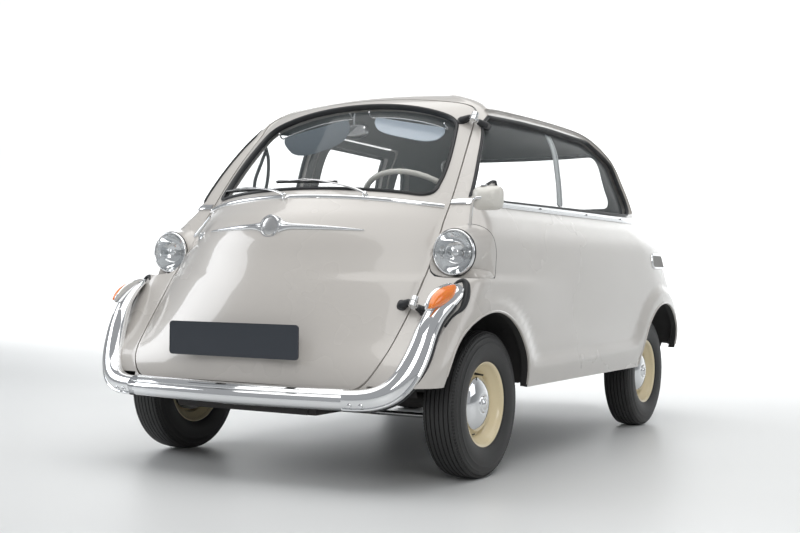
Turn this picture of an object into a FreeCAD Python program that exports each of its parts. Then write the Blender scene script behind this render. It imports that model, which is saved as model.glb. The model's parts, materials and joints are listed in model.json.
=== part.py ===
"""Four-seat bubble car of the late 1950s, with one door at the front and one on its right side.

The car faces -Y, +X is its left side and +Z is up. The origin is on the ground under the middle of the car.
Lengths are in millimetres. The body's skin is a stack of plan sections, each worked out from one table row.
"""
import FreeCAD, Part
import math
import os

doc = FreeCAD.newDocument("BubbleCar")

# Driving sizes: name in the sheet, value.
SIZES = (
    ("front_axle_y", -900), ("rear_axle_y", 800), ("hub_height", 244),
    ("front_track", 1220), ("rear_track", 1160),
    ("tyre_radius", 244), ("tyre_width", 132), ("rim_radius", 141), ("rim_width", 104),
    ("hubcap_radius", 90),
    ("hub_bore_radius", 16), ("stub_radius", 15.9), ("drum_radius", 95),
    ("wall", 30), ("door_gap", 6), ("glass_inset", 12), ("glass_thick", 5), ("seat_gap", 0.3),
    ("pillar_width", 50),
    ("side_bulge_radius", 2000), ("tail_curve_radius", 1200), ("tail_turn_deg", 8),
    ("front_arch_y", -930), ("rear_arch_y", 855), ("arch_z", 240), ("arch_radius", 310),
    ("well_radius", 335), ("well_inner_x", 385), ("well_wall", 8),
    ("front_lip_radius", 357), ("rear_lip_radius", 370), ("sill_band_z", 368), ("lip_height", 12),
    ("lip_front_y", -1120), ("lip_rear_y", 1230),
    ("rib_rows", 8), ("rib_low_z", 560), ("rib_pitch", 30), ("rib_thick", 13), ("rib_height", 9),
    ("rib_inner_x", 60), ("rib_outer_x", 300),
    ("vent_front_y", 745), ("vent_pitch", 26), ("vent_slot", 16), ("vent_slots", 9),
    ("vent_low_z", 716), ("vent_high_z", 764),
    ("seam_slope_deg", 50.6), ("floor_z", 292), ("floor_thick", 12),
    ("floor_front_y", -1345), ("floor_rear_y", 905),
    ("kingpin_inset", 110), ("kingpin_radius", 12),
    ("beam_radius", 26), ("rail_x", 250), ("rail_width", 60), ("rail_height", 70),
    ("engine_width", 420), ("engine_length", 300), ("engine_height", 330), ("engine_y", 930),
    ("engine_z", 240), ("silencer_radius", 55), ("silencer_length", 420),
    ("lamp_x", 598), ("lamp_y", -1006), ("lamp_z", 743), ("lamp_radius", 75), ("lamp_rim", 10),
    ("plate_width", 520), ("plate_height", 110), ("plate_thick", 4), ("plate_z", 454), ("plate_y", -1403),
    ("column_x", 245), ("wheel_rim_radius", 205), ("wheel_rim_tube", 10),
    ("seat_width", 1060), ("front_seat_y", -470), ("rear_seat_y", 330),
)
sheet = doc.addObject("Spreadsheet::Sheet", "Sizes")
for line, (alias, value) in enumerate(SIZES, 1):
    sheet.set("A%d" % line, alias)
    sheet.set("B%d" % line, str(value))
    sheet.setAlias("B%d" % line, alias)
doc.recompute()
S = {alias: float(sheet.get(alias)) for alias, value in SIZES}

# Plan sections of the lower body, from the sill to the belt, and of the cabin above it, up to the crown.
# Columns: z, front centre y, seam x, seam y, side x, corner radius, rear centre y, tail corner radius,
# crown (0 where the skin stands upright, 1 where it lies flat).
BODY_ROWS = (
    (285, -1392, 470, -1345, 672, 100, 1385, 250, 0),
    (380, -1380, 495, -1312, 690, 110, 1392, 250, 0),
    (470, -1357, 509, -1236, 694, 110, 1388, 250, 0),
    (600, -1305, 521, -1121, 694, 100, 1320, 250, 0),
    (720, -1245, 520, -1026, 688, 90, 1230, 250, 0),
    (800, -1208, 515, -965, 676, 85, 1180, 250, 0),
    (860, -1165, 510, -918, 645, 80, 1085, 250, 0),
    (905, -1105, 507, -880, 610, 62, 1048, 260, 0),
)
CABIN_ROWS = (
    (905, -1105, 507, -880, 610, 62, 1048, 260, 0),
    (963, -1020, 504, -835, 600, 52, 1035, 270, 0),
    (1070, -894, 492, -750, 575, 44, 955, 280, 0),
    (1200, -742, 472, -635, 530, 40, 890, 280, 0.15),
    (1290, -635, 420, -560, 462, 38, 800, 280, 0.6),
    (1345, -530, 300, -475, 340, 36, 620, 240, 0.9),
    (1375, -250, 110, -230, 130, 18, 300, 90, 1.0),
)


def vec(x, y, z):
    return FreeCAD.Vector(x, y, z)


def section(row, inset):
    """One plan section, moved in from the skin by inset: in plan where the skin stands, down where it lies."""
    z, front, seam_x, seam_y, side, corner, rear, tail, crown = row
    z -= inset * crown
    plan = inset * math.sqrt(1 - crown * crown)
    front += plan
    seam_x -= 0.6 * plan
    seam_y += plan
    side -= plan
    rear -= plan
    corner = max(corner - 0.5 * plan, 12)
    tail -= plan
    bulge = S["side_bulge_radius"] - plan
    sweep = S["tail_curve_radius"] - plan
    turn = math.radians(S["tail_turn_deg"])
    tail_x = side - bulge + (bulge - tail) * math.cos(turn)
    tail_y = rear - sweep + math.sqrt((sweep - tail) ** 2 - tail_x ** 2)
    bulge_y = tail_y - (bulge - tail) * math.sin(turn)
    end = math.atan2(tail_y - (rear - sweep), tail_x)

    def on_tail(angle):
        return (tail_x + tail * math.cos(angle), tail_y + tail * math.sin(angle))

    def on_bulge(angle):
        return (side - bulge + bulge * math.cos(angle), bulge_y + bulge * math.sin(angle))

    mid = math.sqrt(0.5)
    flank = (
        ((seam_x, seam_y), (side - corner, seam_y)),
        ((side - corner, seam_y), (side - corner + corner * mid, seam_y + corner - corner * mid),
         (side, seam_y + corner)),
        ((side, seam_y + corner), (side, bulge_y)),
        ((side, bulge_y), on_bulge(turn / 2), on_tail(turn)),
        (on_tail(turn), on_tail((turn + end) / 2), on_tail(end)),
    )
    foot = on_tail(end)
    edges = [edge(((-seam_x, seam_y), (0, front), (seam_x, seam_y)), z)]
    edges += [edge(points, z) for points in flank]
    edges += [edge((foot, (0, rear), (-foot[0], foot[1])), z)]
    edges += [edge([(-x, y) for x, y in reversed(points)], z) for points in reversed(flank)]
    return Part.Wire(edges)


def edge(points, z=0.0):
    """A line through two plan points or an arc through three."""
    ends = [vec(x, y, z) for x, y in points]
    if len(ends) == 2:
        return Part.LineSegment(*ends).toShape()
    return Part.Arc(*ends).toShape()


def skin(rows, inset):
    return Part.makeLoft([section(row, inset) for row in rows], True, True)


def facets(rows, inset, counts):
    """A lining of flat facets through the same sections, each edge of a section split into its count of chords."""
    rings = []
    for row in rows:
        ring = []
        for part, count in zip(section(row, inset).OrderedEdges, counts):
            points = part.discretize(count + 1)
            if part.Orientation == "Reversed":
                points.reverse()
            ring += points[:-1]
        rings.append(ring)
    return ring_solid(rings, split=True)


# Chords for: front arc, then line, corner, side, bulge and tail of one flank, rear arc, and the other flank.
SKIN_CHORDS = (12, 1, 3, 1, 2, 6, 6, 6, 2, 1, 3, 1)
LINING_CHORDS = (6, 1, 1, 1, 1, 2, 2, 2, 1, 1, 1, 1)
PANE_CHORDS = (10, 1, 2, 1, 1, 3, 4, 3, 1, 1, 2, 1)


def ring_solid(rings, hollow=False, split=False):
    """Flat faces between like-numbered points of neighbouring rings. Hollow joins the last ring to the first."""
    faces = [] if hollow else [Part.Face(Part.makePolygon(ring + [ring[0]])) for ring in (rings[0], rings[-1])]
    ahead = rings[1:] + rings[:1] if hollow else rings[1:]
    for low, high in zip(rings, ahead):
        for i in range(len(low)):
            j = (i + 1) % len(low)
            if split:
                faces.append(Part.Face(Part.makePolygon([low[i], low[j], high[j], low[i]])))
                faces.append(Part.Face(Part.makePolygon([low[i], high[j], high[i], low[i]])))
            else:
                faces.append(Part.Face(Part.makePolygon([low[i], low[j], high[j], high[i], low[i]])))
    solid = Part.Solid(Part.Shell(faces))
    if solid.Volume < 0:
        solid.reverse()
    return solid


def prism(runs, origin, right, up, depth, grow=0.0):
    """A closed outline of runs (two or three points each) drawn on the plane of right and up, made depth long."""
    wire = Part.Wire([edge(run) for run in runs])
    face = Part.Face(wire)
    if grow:
        face = face.makeOffset2D(grow)
    across = right.cross(up)
    solid = face.extrude(vec(0, 0, depth))
    solid.transformShape(FreeCAD.Matrix(
        right.x, up.x, across.x, origin.x,
        right.y, up.y, across.y, origin.y,
        right.z, up.z, across.z, origin.z,
        0, 0, 0, 1))
    return solid


def mirrored(runs):
    """Runs on the right half, from the bottom up, closed by their mirror image."""
    return list(runs) + [[(-x, y) for x, y in reversed(run)] for run in reversed(runs)]


def side_runs(points):
    """Straight runs between corner points, closed."""
    return [(points[i], points[(i + 1) % len(points)]) for i in range(len(points))]


def rounded(points, radius):
    """A closed outline through corner points, each corner rounded off."""
    runs = []
    count = len(points)
    ends = []
    for i in range(count):
        here = FreeCAD.Vector(*points[i], 0)
        back = FreeCAD.Vector(*points[i - 1], 0) - here
        ahead = FreeCAD.Vector(*points[(i + 1) % count], 0) - here
        half = back.getAngle(ahead) / 2
        back.normalize()
        ahead.normalize()
        reach = radius / math.tan(half)
        middle = back + ahead
        middle.normalize()
        centre = here + middle * (radius / math.sin(half))
        ends.append((here + back * reach, centre - middle * radius, here + ahead * reach))
    for i in range(count):
        runs.append([(p.x, p.y) for p in ends[i]])
        runs.append([(ends[i][2].x, ends[i][2].y), (ends[(i + 1) % count][0].x, ends[(i + 1) % count][0].y)])
    return runs


def feature(label, shape):
    item = doc.addObject("Part::Feature", label)
    item.Label = label
    item.Shape = shape
    return item


def pair(label, maker):
    """One node of two like solids, right and left."""
    return feature(label, Part.makeCompound([maker(-1), maker(1)]))


def fused(shapes):
    whole = shapes[0].multiFuse(shapes[1:]) if len(shapes) > 1 else shapes[0]
    return whole.removeSplitter()


def tube_x(x0, x1, y, z, radius):
    return Part.makeCylinder(radius, x1 - x0, vec(x0, y, z), vec(1, 0, 0))


def box(x0, x1, y0, y1, z0, z1):
    return Part.makeBox(x1 - x0, y1 - y0, z1 - z0, vec(x0, y0, z0))


# Directions of the front door: along its seam, and the way it swings out.
SEAM = math.radians(S["seam_slope_deg"])
DOOR_UP = vec(0, math.cos(SEAM), math.sin(SEAM))
DOOR_OUT = vec(1, 0, 0).cross(DOOR_UP)
DOOR_BACK_AT = 1080

# Outlines on the front door's plane, right half from the bottom up: x, distance along the seam.
DOOR_RUNS = mirrored((
    ((0, -635), (190, -631), (370, -620)),
    ((370, -620), (464, -583), (507, -450)),
    ((507, -450), (521.5, -190), (511, 65)),
    ((511, 65), (496, 310), (462, 575)),
    ((462, 575), (436, 628), (360, 652)),
    ((360, 652), (180, 665), (0, 668)),
))
SCREEN_RUNS = mirrored((
    ((0, 100), (200, 108), (390, 136)),
    ((390, 136), (443, 160), (456, 215)),
    ((456, 215), (451, 335), (422, 500)),
    ((422, 500), (401, 542), (350, 568)),
    ((350, 568), (180, 606), (0, 618)),
))
# Side view outlines: y, z.
SIDE_WINDOW = ((-865, 925), (-760, 1075), (-575, 1236), (0, 1252), (400, 1238), (600, 1140), (690, 940))
SIDE_DOOR = ((-160, 335), (-160, 1258), (440, 1246), (475, 1000), (475, 620), (430, 335))
# The side door's opening is wider at its upper rear corner, which swings back before it swings out.
SIDE_OPENING = ((-166, 329), (-166, 1264), (452, 1253), (488, 1000), (481, 620), (436, 329))
REAR_WINDOW = ((-430, 985), (430, 985), (400, 1235), (-400, 1235))
ENGINE_LID = ((-420, 430), (420, 430), (380, 880), (-380, 880))


def front_prism(runs, grow=0.0):
    origin = DOOR_OUT * DOOR_BACK_AT
    return prism(runs, origin, vec(1, 0, 0), DOOR_UP, 700, grow)


def side_prism(points, radius, sign, grow=0.0):
    runs = rounded(points, radius)
    solid = prism(runs, vec(300, 0, 0), vec(0, 1, 0), vec(0, 0, 1), 600, grow)
    return solid if sign > 0 else solid.mirror(vec(0, 0, 0), vec(1, 0, 0))


def rear_prism(points, radius, grow=0.0):
    return prism(rounded(points, radius), vec(0, 1600, 0), vec(1, 0, 0), vec(0, 0, 1), 1100, grow)


def side_window(sign, shrink=0.0):
    """A side window's opening, clear of the pillar beside the front door."""
    pillar = front_prism(DOOR_RUNS, S["pillar_width"] + shrink)
    return side_prism(SIDE_WINDOW, 40, sign, -shrink).cut(pillar)


outer_low, outer_top = facets(BODY_ROWS, 0, SKIN_CHORDS), facets(CABIN_ROWS, 0, SKIN_CHORDS)
inner_low = facets(BODY_ROWS[::2] + BODY_ROWS[-1:], S["wall"], LINING_CHORDS)
inner_top = facets(CABIN_ROWS, S["wall"], LINING_CHORDS)

# A lip stands out round each wheel arch and along the sill, and ribs stand out of the engine lid.
def raised(by, region):
    """A band of the lower body's skin, raised by some distance inside a region."""
    return facets(BODY_ROWS, -by, SKIN_CHORDS).cut(outer_low).common(region)


lip_regions = [tube_x(-800, 800, S["front_arch_y"], S["arch_z"], S["front_lip_radius"]),
               tube_x(-800, 800, S["rear_arch_y"], S["arch_z"], S["rear_lip_radius"]),
               box(-800, 800, S["front_arch_y"], S["rear_arch_y"], 0, S["sill_band_z"])]
lip_limits = [box(low, high, S["lip_front_y"], S["lip_rear_y"], 0, 700) for low, high in ((-800, -600), (600, 800))]
lips = raised(S["lip_height"], fused(lip_regions).common(Part.makeCompound(lip_limits)))
lid_ribs = []
for row in range(int(S["rib_rows"])):
    rib_z = S["rib_low_z"] + row * S["rib_pitch"]
    for low, high in ((S["rib_inner_x"], S["rib_outer_x"]), (-S["rib_outer_x"], -S["rib_inner_x"])):
        lid_ribs.append(box(low, high, 900, 1500, rib_z, rib_z + S["rib_thick"]))
ribs = raised(S["rib_height"], Part.makeCompound(lid_ribs))
whole_shell = fused([outer_low.cut(inner_low), outer_top.cut(inner_top)] + lips.Solids + ribs.Solids)
pane_skin = facets(CABIN_ROWS, S["glass_inset"], PANE_CHORDS).cut(
    facets(CABIN_ROWS, S["glass_inset"] + S["glass_thick"], PANE_CHORDS))
pane_gap = S["seat_gap"]

front_axle_y, rear_axle_y, hub_z = S["front_axle_y"], S["rear_axle_y"], S["hub_height"]
kingpin_x = S["front_track"] / 2 - S["kingpin_inset"]
arches = [tube_x(-800, 800, y, S["arch_z"], S["arch_radius"]) for y in (S["front_arch_y"], S["rear_arch_y"])]
arch_middle = box(-500, 500, -1500, 1500, 0, 700)
arch_cut = fused([arch.cut(arch_middle) for arch in arches])

door_clear = front_prism(DOOR_RUNS, S["door_gap"])
POD_BACK_Y = -880
pod_holes = [Part.makeCylinder(S["lamp_radius"] + S["lamp_rim"] + 2 * S["seat_gap"], 420,
                               vec(sign * S["lamp_x"], POD_BACK_Y - 420 + S["seat_gap"], S["lamp_z"]), vec(0, 1, 0))
             for sign in (-1, 1)]
front_door_skin = whole_shell.common(front_prism(DOOR_RUNS))
side_door_skin = whole_shell.common(side_prism(SIDE_DOOR, 60, -1))
lid_skin = whole_shell.common(rear_prism(ENGINE_LID, 60))

gap = S["door_gap"]
under = box(-800, 800, -1500, -1225, 200, 325).cut(box(-470, 470, -1500, -1225, 200, 325))
under_tail = prism(side_runs(((1150, 200), (1500, 200), (1500, 365), (1150, 350))), vec(-800, 0, 0),
                   vec(0, 1, 0), vec(0, 0, 1), 1600)
shell = whole_shell.cut([
    front_prism(DOOR_RUNS, gap), side_prism(SIDE_OPENING, 60, -1), rear_prism(ENGINE_LID, 60, gap),
    side_window(1), rear_prism(REAR_WINDOW, 60), arch_cut, under, under_tail] + pod_holes)
vent_holes = []
for k in range(int(S["vent_slots"])):
    slot_y = S["vent_front_y"] + k * S["vent_pitch"]
    for low, high in ((-800, -500), (500, 800)):
        vent_holes.append(box(low, high, slot_y, slot_y + S["vent_slot"],
                              S["vent_low_z"], S["vent_high_z"]))
shell = shell.cut(vent_holes)
right_front_window = side_window(-1).common(box(-900, 0, -1000, -215, 800, 1400))
right_rear_window = side_window(-1).common(box(-900, 0, 530, 1000, 800, 1400))
shell = shell.cut([right_front_window, right_rear_window])

# Hinges: a pin on the body's half turns in the moving panel's half. Each half is cut back to the skin it sits on.
PIN_RADIUS, PIN_BORE, KNUCKLE_RADIUS, KNUCKLE_LENGTH, LEAF_RADIUS = 5, 5.05, 11, 20, 7


def hinge_half(point, along, foot, clear, bored):
    """One knuckle from point on along the axis, and its leaf to a foot on the skin, cut back from clear."""
    foot -= along * along.dot(foot - point)
    start = point + along * S["seat_gap"]
    knuckle = Part.makeCylinder(KNUCKLE_RADIUS, KNUCKLE_LENGTH, start, along)
    middle = start + along * (KNUCKLE_LENGTH / 2)
    reach = foot - point
    leaf = Part.makeCylinder(LEAF_RADIUS, reach.Length, middle, reach)
    half = knuckle.fuse(leaf)
    if bored:
        half = half.cut(Part.makeCylinder(PIN_BORE, KNUCKLE_LENGTH, point, along))
    else:
        half = half.fuse(Part.makeCylinder(PIN_RADIUS, 2 * KNUCKLE_LENGTH - 2, point - along * (KNUCKLE_LENGTH - 2), along))
    return half.cut(clear)


body_solid = outer_low.fuse(outer_top)


def hinge(points, axis, body_foot, door_foot):
    """Both halves of a pair of hinges: the body's below, the door's above. Feet are steps from the pin."""
    axis = FreeCAD.Vector(axis).normalize()
    body = [hinge_half(p, axis * -1, p + body_foot, body_solid, False) for p in points]
    door = [hinge_half(p, axis, p + door_foot, body_solid, True) for p in points]
    return Part.makeCompound(body), Part.makeCompound(door)


FRONT_HINGE_LOW, FRONT_HINGE_TOP = vec(548, -1186, 583), vec(486, -652, 1232)
SIDE_HINGE_LOW, SIDE_HINGE_TOP = vec(-708, -170, 480), vec(-694, -170, 800)
LID_HINGE = (vec(-250, 1082, 890), vec(230, 1082, 890))
front_body_half, front_door_half = hinge((FRONT_HINGE_LOW, FRONT_HINGE_TOP), FRONT_HINGE_TOP - FRONT_HINGE_LOW,
                                         vec(22, 75, 5), vec(-75, 88, 24))
side_body_half, side_door_half = hinge((SIDE_HINGE_LOW, SIDE_HINGE_TOP), SIDE_HINGE_TOP - SIDE_HINGE_LOW,
                                       vec(60, -30, -10), vec(60, 38, 10))
lid_body_half, lid_door_half = hinge(LID_HINGE, vec(1, 0, 0), vec(-10, -60, 12), vec(10, -40, -30))
# The shell is two pressings that meet at the belt, under the windows.
below_belt = box(-900, 900, -1600, 1600, 0, BODY_ROWS[-1][0])
low_front_half, top_front_half = sorted(front_body_half.Solids, key=lambda half: half.CenterOfMass.z)
feature("body_shell", fused([shell.common(below_belt), low_front_half] + side_body_half.Solids + lid_body_half.Solids))
feature("cabin_shell", fused([shell.cut(below_belt), top_front_half]))

screen_hole = front_prism(SCREEN_RUNS)
feature("front_door_panel", fused([front_door_skin.cut(screen_hole)] + front_door_half.Solids))
feature("windscreen", pane_skin.common(front_prism(SCREEN_RUNS, -pane_gap)))

door_window = ((-100, 935), (-100, 1225), (400, 1214), (430, 1010), (430, 935))
side_panel = side_door_skin.cut(side_prism(door_window, 35, -1))
feature("side_door_panel", fused([side_panel] + side_door_half.Solids))
feature("side_door_glass", pane_skin.common(side_prism(door_window, 35, -1, -pane_gap)))
feature("engine_lid", fused([lid_skin] + lid_door_half.Solids))

feature("side_glass_left", pane_skin.common(side_window(1, pane_gap)))
right_panes = pane_skin.common(side_window(-1, pane_gap))
feature("side_glass_right", Part.makeCompound([
    right_panes.common(box(-900, 0, -1000, -215 - pane_gap, 800, 1400)),
    right_panes.common(box(-900, 0, 530 + pane_gap, 1000, 800, 1400))]))
feature("rear_window", pane_skin.common(rear_prism(REAR_WINDOW, 60, -pane_gap)))

# Floor, and the four wheel wells that stand in its cut-outs.
well_outer = S["well_radius"] + S["well_wall"]
cavity = facets(BODY_ROWS[::2] + BODY_ROWS[-1:], S["wall"] + S["seat_gap"], LINING_CHORDS).fuse(
    facets(CABIN_ROWS, S["wall"] + S["seat_gap"], LINING_CHORDS))
floor_top = S["floor_z"] + S["floor_thick"]
floor_plate = box(-700, 700, S["floor_front_y"], S["floor_rear_y"], S["floor_z"], floor_top)
wells = []
for axle in (S["front_arch_y"], S["rear_arch_y"]):
    for sign in (-1, 1):
        inner, outer = S["well_inner_x"] * sign, 700 * sign
        cheek = inner - sign * S["well_wall"]
        tub = tube_x(min(cheek, outer), max(cheek, outer), axle, S["arch_z"], well_outer)
        hollow = tube_x(min(inner, outer), max(inner, outer), axle, S["arch_z"], S["well_radius"])
        room = tube_x(min(cheek - sign * pane_gap, outer), max(cheek - sign * pane_gap, outer), axle, S["arch_z"],
                      well_outer + pane_gap)
        floor_plate = floor_plate.cut(room)
        well = tub.cut(hollow).common(box(-700, 700, -1500, 1500, S["floor_z"], 700)).common(cavity)
        wells.append(max(well.Solids, key=lambda one: one.Volume))
feature("floor_pan", floor_plate.common(cavity))
feature("wheel_wells", Part.makeCompound(wells))

bulkhead = box(-700, 700, 893, 901, floor_top + pane_gap, 905).fuse(box(-700, 700, 893, 1030, 897, 905))
bulkhead = bulkhead.common(cavity)
for sign in (-1, 1):
    tub = tube_x(min(sign * 376, sign * 700), max(sign * 376, sign * 700), S["rear_arch_y"], S["arch_z"],
                 well_outer + pane_gap)
    bulkhead = bulkhead.cut(tub)
feature("rear_bulkhead", bulkhead)

# Frame under the floor: two rails and their crossmembers, with the front beam and the rear tube through them.
rail_top = S["floor_z"] - pane_gap
rail_low = rail_top - S["rail_height"]
beam = tube_x(-kingpin_x + 20, kingpin_x - 20, front_axle_y, hub_z, S["beam_radius"])
rear_tube = tube_x(-420, 420, 440, 250, 24)
frame_parts = []
for sign in (-1, 1):
    x = sign * S["rail_x"]
    frame_parts.append(box(x - S["rail_width"] / 2, x + S["rail_width"] / 2, -1330, 1280, rail_low, rail_top))
for y in (-1310, -560, 60, 640):
    frame_parts.append(box(-S["rail_x"], S["rail_x"], y - 25, y + 25, rail_low, rail_top))
for y in (970, 1240):
    frame_parts.append(box(-S["rail_x"], S["rail_x"], y - 25, y + 25, rail_low, S["engine_z"] - pane_gap))
frame = fused(frame_parts)
frame = frame.cut([tube_x(-900, 900, front_axle_y, hub_z, S["beam_radius"] + pane_gap),
                   tube_x(-900, 900, 440, 250, 24 + pane_gap)])
feature("chassis_frame", frame)

eye_height = 80
beam_parts = [beam]
for sign in (-1, 1):
    beam_parts.append(Part.makeCylinder(24, eye_height, vec(sign * kingpin_x, front_axle_y, hub_z - eye_height / 2)))
front_beam = fused(beam_parts)
for sign in (-1, 1):
    front_beam = front_beam.cut(Part.makeCylinder(S["kingpin_radius"] + 0.05, 300,
                                                  vec(sign * kingpin_x, front_axle_y, hub_z - 150)))
feature("front_axle_beam", front_beam)

rear_parts = [rear_tube]
for sign in (-1, 1):
    low, high = sorted((sign * 396, sign * 446))
    rear_parts.append(box(low, high, 425, rear_axle_y + 26, 228, 268))
    low, high = sorted((sign * 420, sign * (S["rear_track"] / 2 + 6)))
    rear_parts.append(tube_x(low, high, rear_axle_y, hub_z, S["stub_radius"]))
feature("rear_swing_arms", fused(rear_parts))

# Steering knuckles: a yoke round the beam's eye, with its kingpin, stub axle and steering arm.
lug_top, lug_gap, arm_length = 16, 0.3, 120
for name, sign in (("right", -1), ("left", 1)):
    x = sign * kingpin_x
    top = hub_z + eye_height / 2 + lug_gap
    low = hub_z - eye_height / 2 - lug_gap - lug_top
    web_low, web_high = sorted((x + sign * 27, x + sign * 37))
    pieces = [Part.makeCylinder(S["kingpin_radius"], top + lug_top - low, vec(x, front_axle_y, low))]
    for z in (top, low):
        pieces.append(Part.makeCylinder(22, lug_top, vec(x, front_axle_y, z)))
        lug_low, lug_high = sorted((x, x + sign * 37))
        pieces.append(box(lug_low, lug_high, front_axle_y - 18, front_axle_y + 18, z, z + lug_top))
    pieces.append(box(web_low, web_high, front_axle_y - 22, front_axle_y + 22, low, top + lug_top))
    stub_low, stub_high = sorted((x + sign * 30, sign * (S["front_track"] / 2 + 6)))
    pieces.append(tube_x(stub_low, stub_high, front_axle_y, hub_z, S["stub_radius"]))
    arm_low, arm_high = sorted((x - sign * 34, x + sign * 4))
    pieces.append(box(arm_low, arm_high, front_axle_y + 10, front_axle_y + arm_length + 14, low, low + 10))
    feature("knuckle_" + name, fused(pieces))
# Tie rod: a ball socket under each arm's end, joined by the rod.
tie_end, tie_y = kingpin_x - 15, front_axle_y + arm_length
socket_top = hub_z - eye_height / 2 - lug_gap - lug_top - S["seat_gap"]
tie_parts = [tube_x(-tie_end, tie_end, tie_y, socket_top - 12, 9)]
for sign in (-1, 1):
    tie_parts.append(Part.makeCylinder(14, 24, vec(sign * tie_end, tie_y, socket_top - 24)))
feature("tie_rod", fused(tie_parts))


# Wheels: rings of flat-sided rounds, lofted from corner to corner of a profile.
def turned(label, corners, sides, place, bore=0):
    """A solid about X through (distance along the axle, radius to the flats) corners, with a round bore."""
    grow = 1 / math.cos(math.pi / sides)
    rings = []
    for along, radius in corners:
        angles = [2 * math.pi * (k + 0.5) / sides for k in range(sides)]
        rings.append([vec(along, radius * grow * math.sin(a), -radius * grow * math.cos(a)) for a in angles])
    solid = ring_solid(rings, hollow=bore > 0)
    if bore:
        ends = [along for along, radius in corners]
        solid = solid.cut(tube_x(min(ends) - 1, max(ends) + 1, 0, 0, bore))
    item = feature(label, solid)
    item.Placement = place
    return item


half_tyre, half_rim = S["tyre_width"] / 2, S["rim_width"] / 2
seat = S["rim_radius"] - 13
RIM_SIDES = 24
bead = (seat - pane_gap) * math.cos(math.pi / RIM_SIDES)
tyre_corners = ((-half_rim + 6, seat), (-half_tyre, 192), (-half_tyre + 16, S["tyre_radius"]),
                (half_tyre - 16, S["tyre_radius"]), (half_tyre, 192), (half_rim - 6, seat))
rim_corners = ((-half_rim, S["rim_radius"]), (-half_rim + 6, bead), (half_rim - 6, bead),
               (half_rim, S["rim_radius"]), (half_rim - 3, seat - 6), (16, 108), (20, 88), (20, 12),
               (-44, 12), (-44, S["drum_radius"]), (8, S["drum_radius"]), (8, 112),
               (-half_rim + 3, seat - 6))
cap_corners = ((20 + pane_gap, S["hubcap_radius"]), (28, 85), (42, 55), (46, 24), (54, 18), (56, 10))
for end, y, track in (("front", front_axle_y, S["front_track"]), ("rear", rear_axle_y, S["rear_track"])):
    for name, sign in (("right", -1), ("left", 1)):
        where = FreeCAD.Placement(vec(sign * track / 2, y, hub_z),
                                  FreeCAD.Rotation(vec(0, 0, 1), 0 if sign > 0 else 180))
        turned("tyre_%s_%s" % (end, name), tyre_corners, 48, where, 1)
        turned("rim_%s_%s" % (end, name), rim_corners, RIM_SIDES, where, S["hub_bore_radius"])
        turned("hubcap_%s_%s" % (end, name), cap_corners, 24, where)

# Engine and silencer.
engine = doc.addObject("Part::Box", "engine_block")
engine.Label = "engine_block"
engine.setExpression("Length", "Sizes.engine_width")
engine.setExpression("Width", "Sizes.engine_length")
engine.setExpression("Height", "Sizes.engine_height")
engine.Placement.Base = vec(-S["engine_width"] / 2, S["engine_y"], S["engine_z"])
silencer = doc.addObject("Part::Cylinder", "silencer")
silencer.Label = "silencer"
silencer.setExpression("Radius", "Sizes.silencer_radius")
silencer.setExpression("Height", "Sizes.silencer_length")
silencer.Placement = FreeCAD.Placement(
    vec(-S["silencer_length"] / 2, S["engine_y"] + S["engine_length"] + S["silencer_radius"] + pane_gap, 302),
    FreeCAD.Rotation(vec(0, 1, 0), 90))

# Seats: side profiles made as wide as the bench.
for label, base_y, width, profile in (
        ("front_seat", S["front_seat_y"], S["seat_width"],
         ((0, 0), (430, 0), (520, 40), (590, 540), (510, 560), (410, 190), (0, 200))),
        ("rear_seat", S["rear_seat_y"], 740,
         ((0, 0), (470, 0), (520, 40), (560, 530), (470, 545), (400, 170), (0, 190)))):
    outline = [vec(-width / 2, base_y + y, floor_top + pane_gap + z) for y, z in profile]
    face = Part.Face(Part.makePolygon(outline + [outline[0]]))
    feature(label, face.extrude(vec(width, 0, 0)))


# Bumpers: a bar turned about a far centre, and at the front a horn that climbs to each indicator.
def bar(half_x, end_y, mid_y, profile):
    """A bar on the arc through (-half_x, end_y), (0, mid_y), (half_x, end_y). Profile: outwards, z."""
    rise = abs(mid_y - end_y)
    radius = (half_x ** 2 + rise ** 2) / (2 * rise)
    sign = -1 if mid_y < end_y else 1
    centre_y = mid_y - sign * radius
    half_angle = math.degrees(math.asin(half_x / radius))
    outline = [vec(0, centre_y + sign * (radius + out), z) for out, z in profile]
    face = Part.Face(Part.makePolygon(outline + [outline[0]]))
    face.rotate(vec(0, centre_y, 0), vec(0, 0, 1), -half_angle)
    return face.revolve(vec(0, centre_y, 0), vec(0, 0, 1), 2 * half_angle)


BAR_PROFILE = ((-8, 250), (20, 262), (34, 285), (20, 308), (-8, 318))
feature("front_bumper", bar(430, -1374, -1416, BAR_PROFILE))
REAR_PROFILE = ((-16, 358), (10, 364), (22, 392), (10, 420), (-16, 426))
rear_bar = bar(600, 1330, 1428, REAR_PROFILE)
brackets = [box(x - 20, x + 20, 1300, 1405, 378, 406) for x in (-330, 330)]
feature("rear_bumper", fused([rear_bar] + brackets).cut(body_solid))

# Horn stations: centre x, y, z, half width across, half depth.
HORN = ((432, -1395, 284, 34, 24), (520, -1372, 290, 36, 26), (590, -1330, 335, 40, 26), (622, -1285, 420, 42, 25),
        (630, -1250, 500, 40, 24), (632, -1208, 575, 36, 22), (632, -1150, 622, 28, 20))


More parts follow.
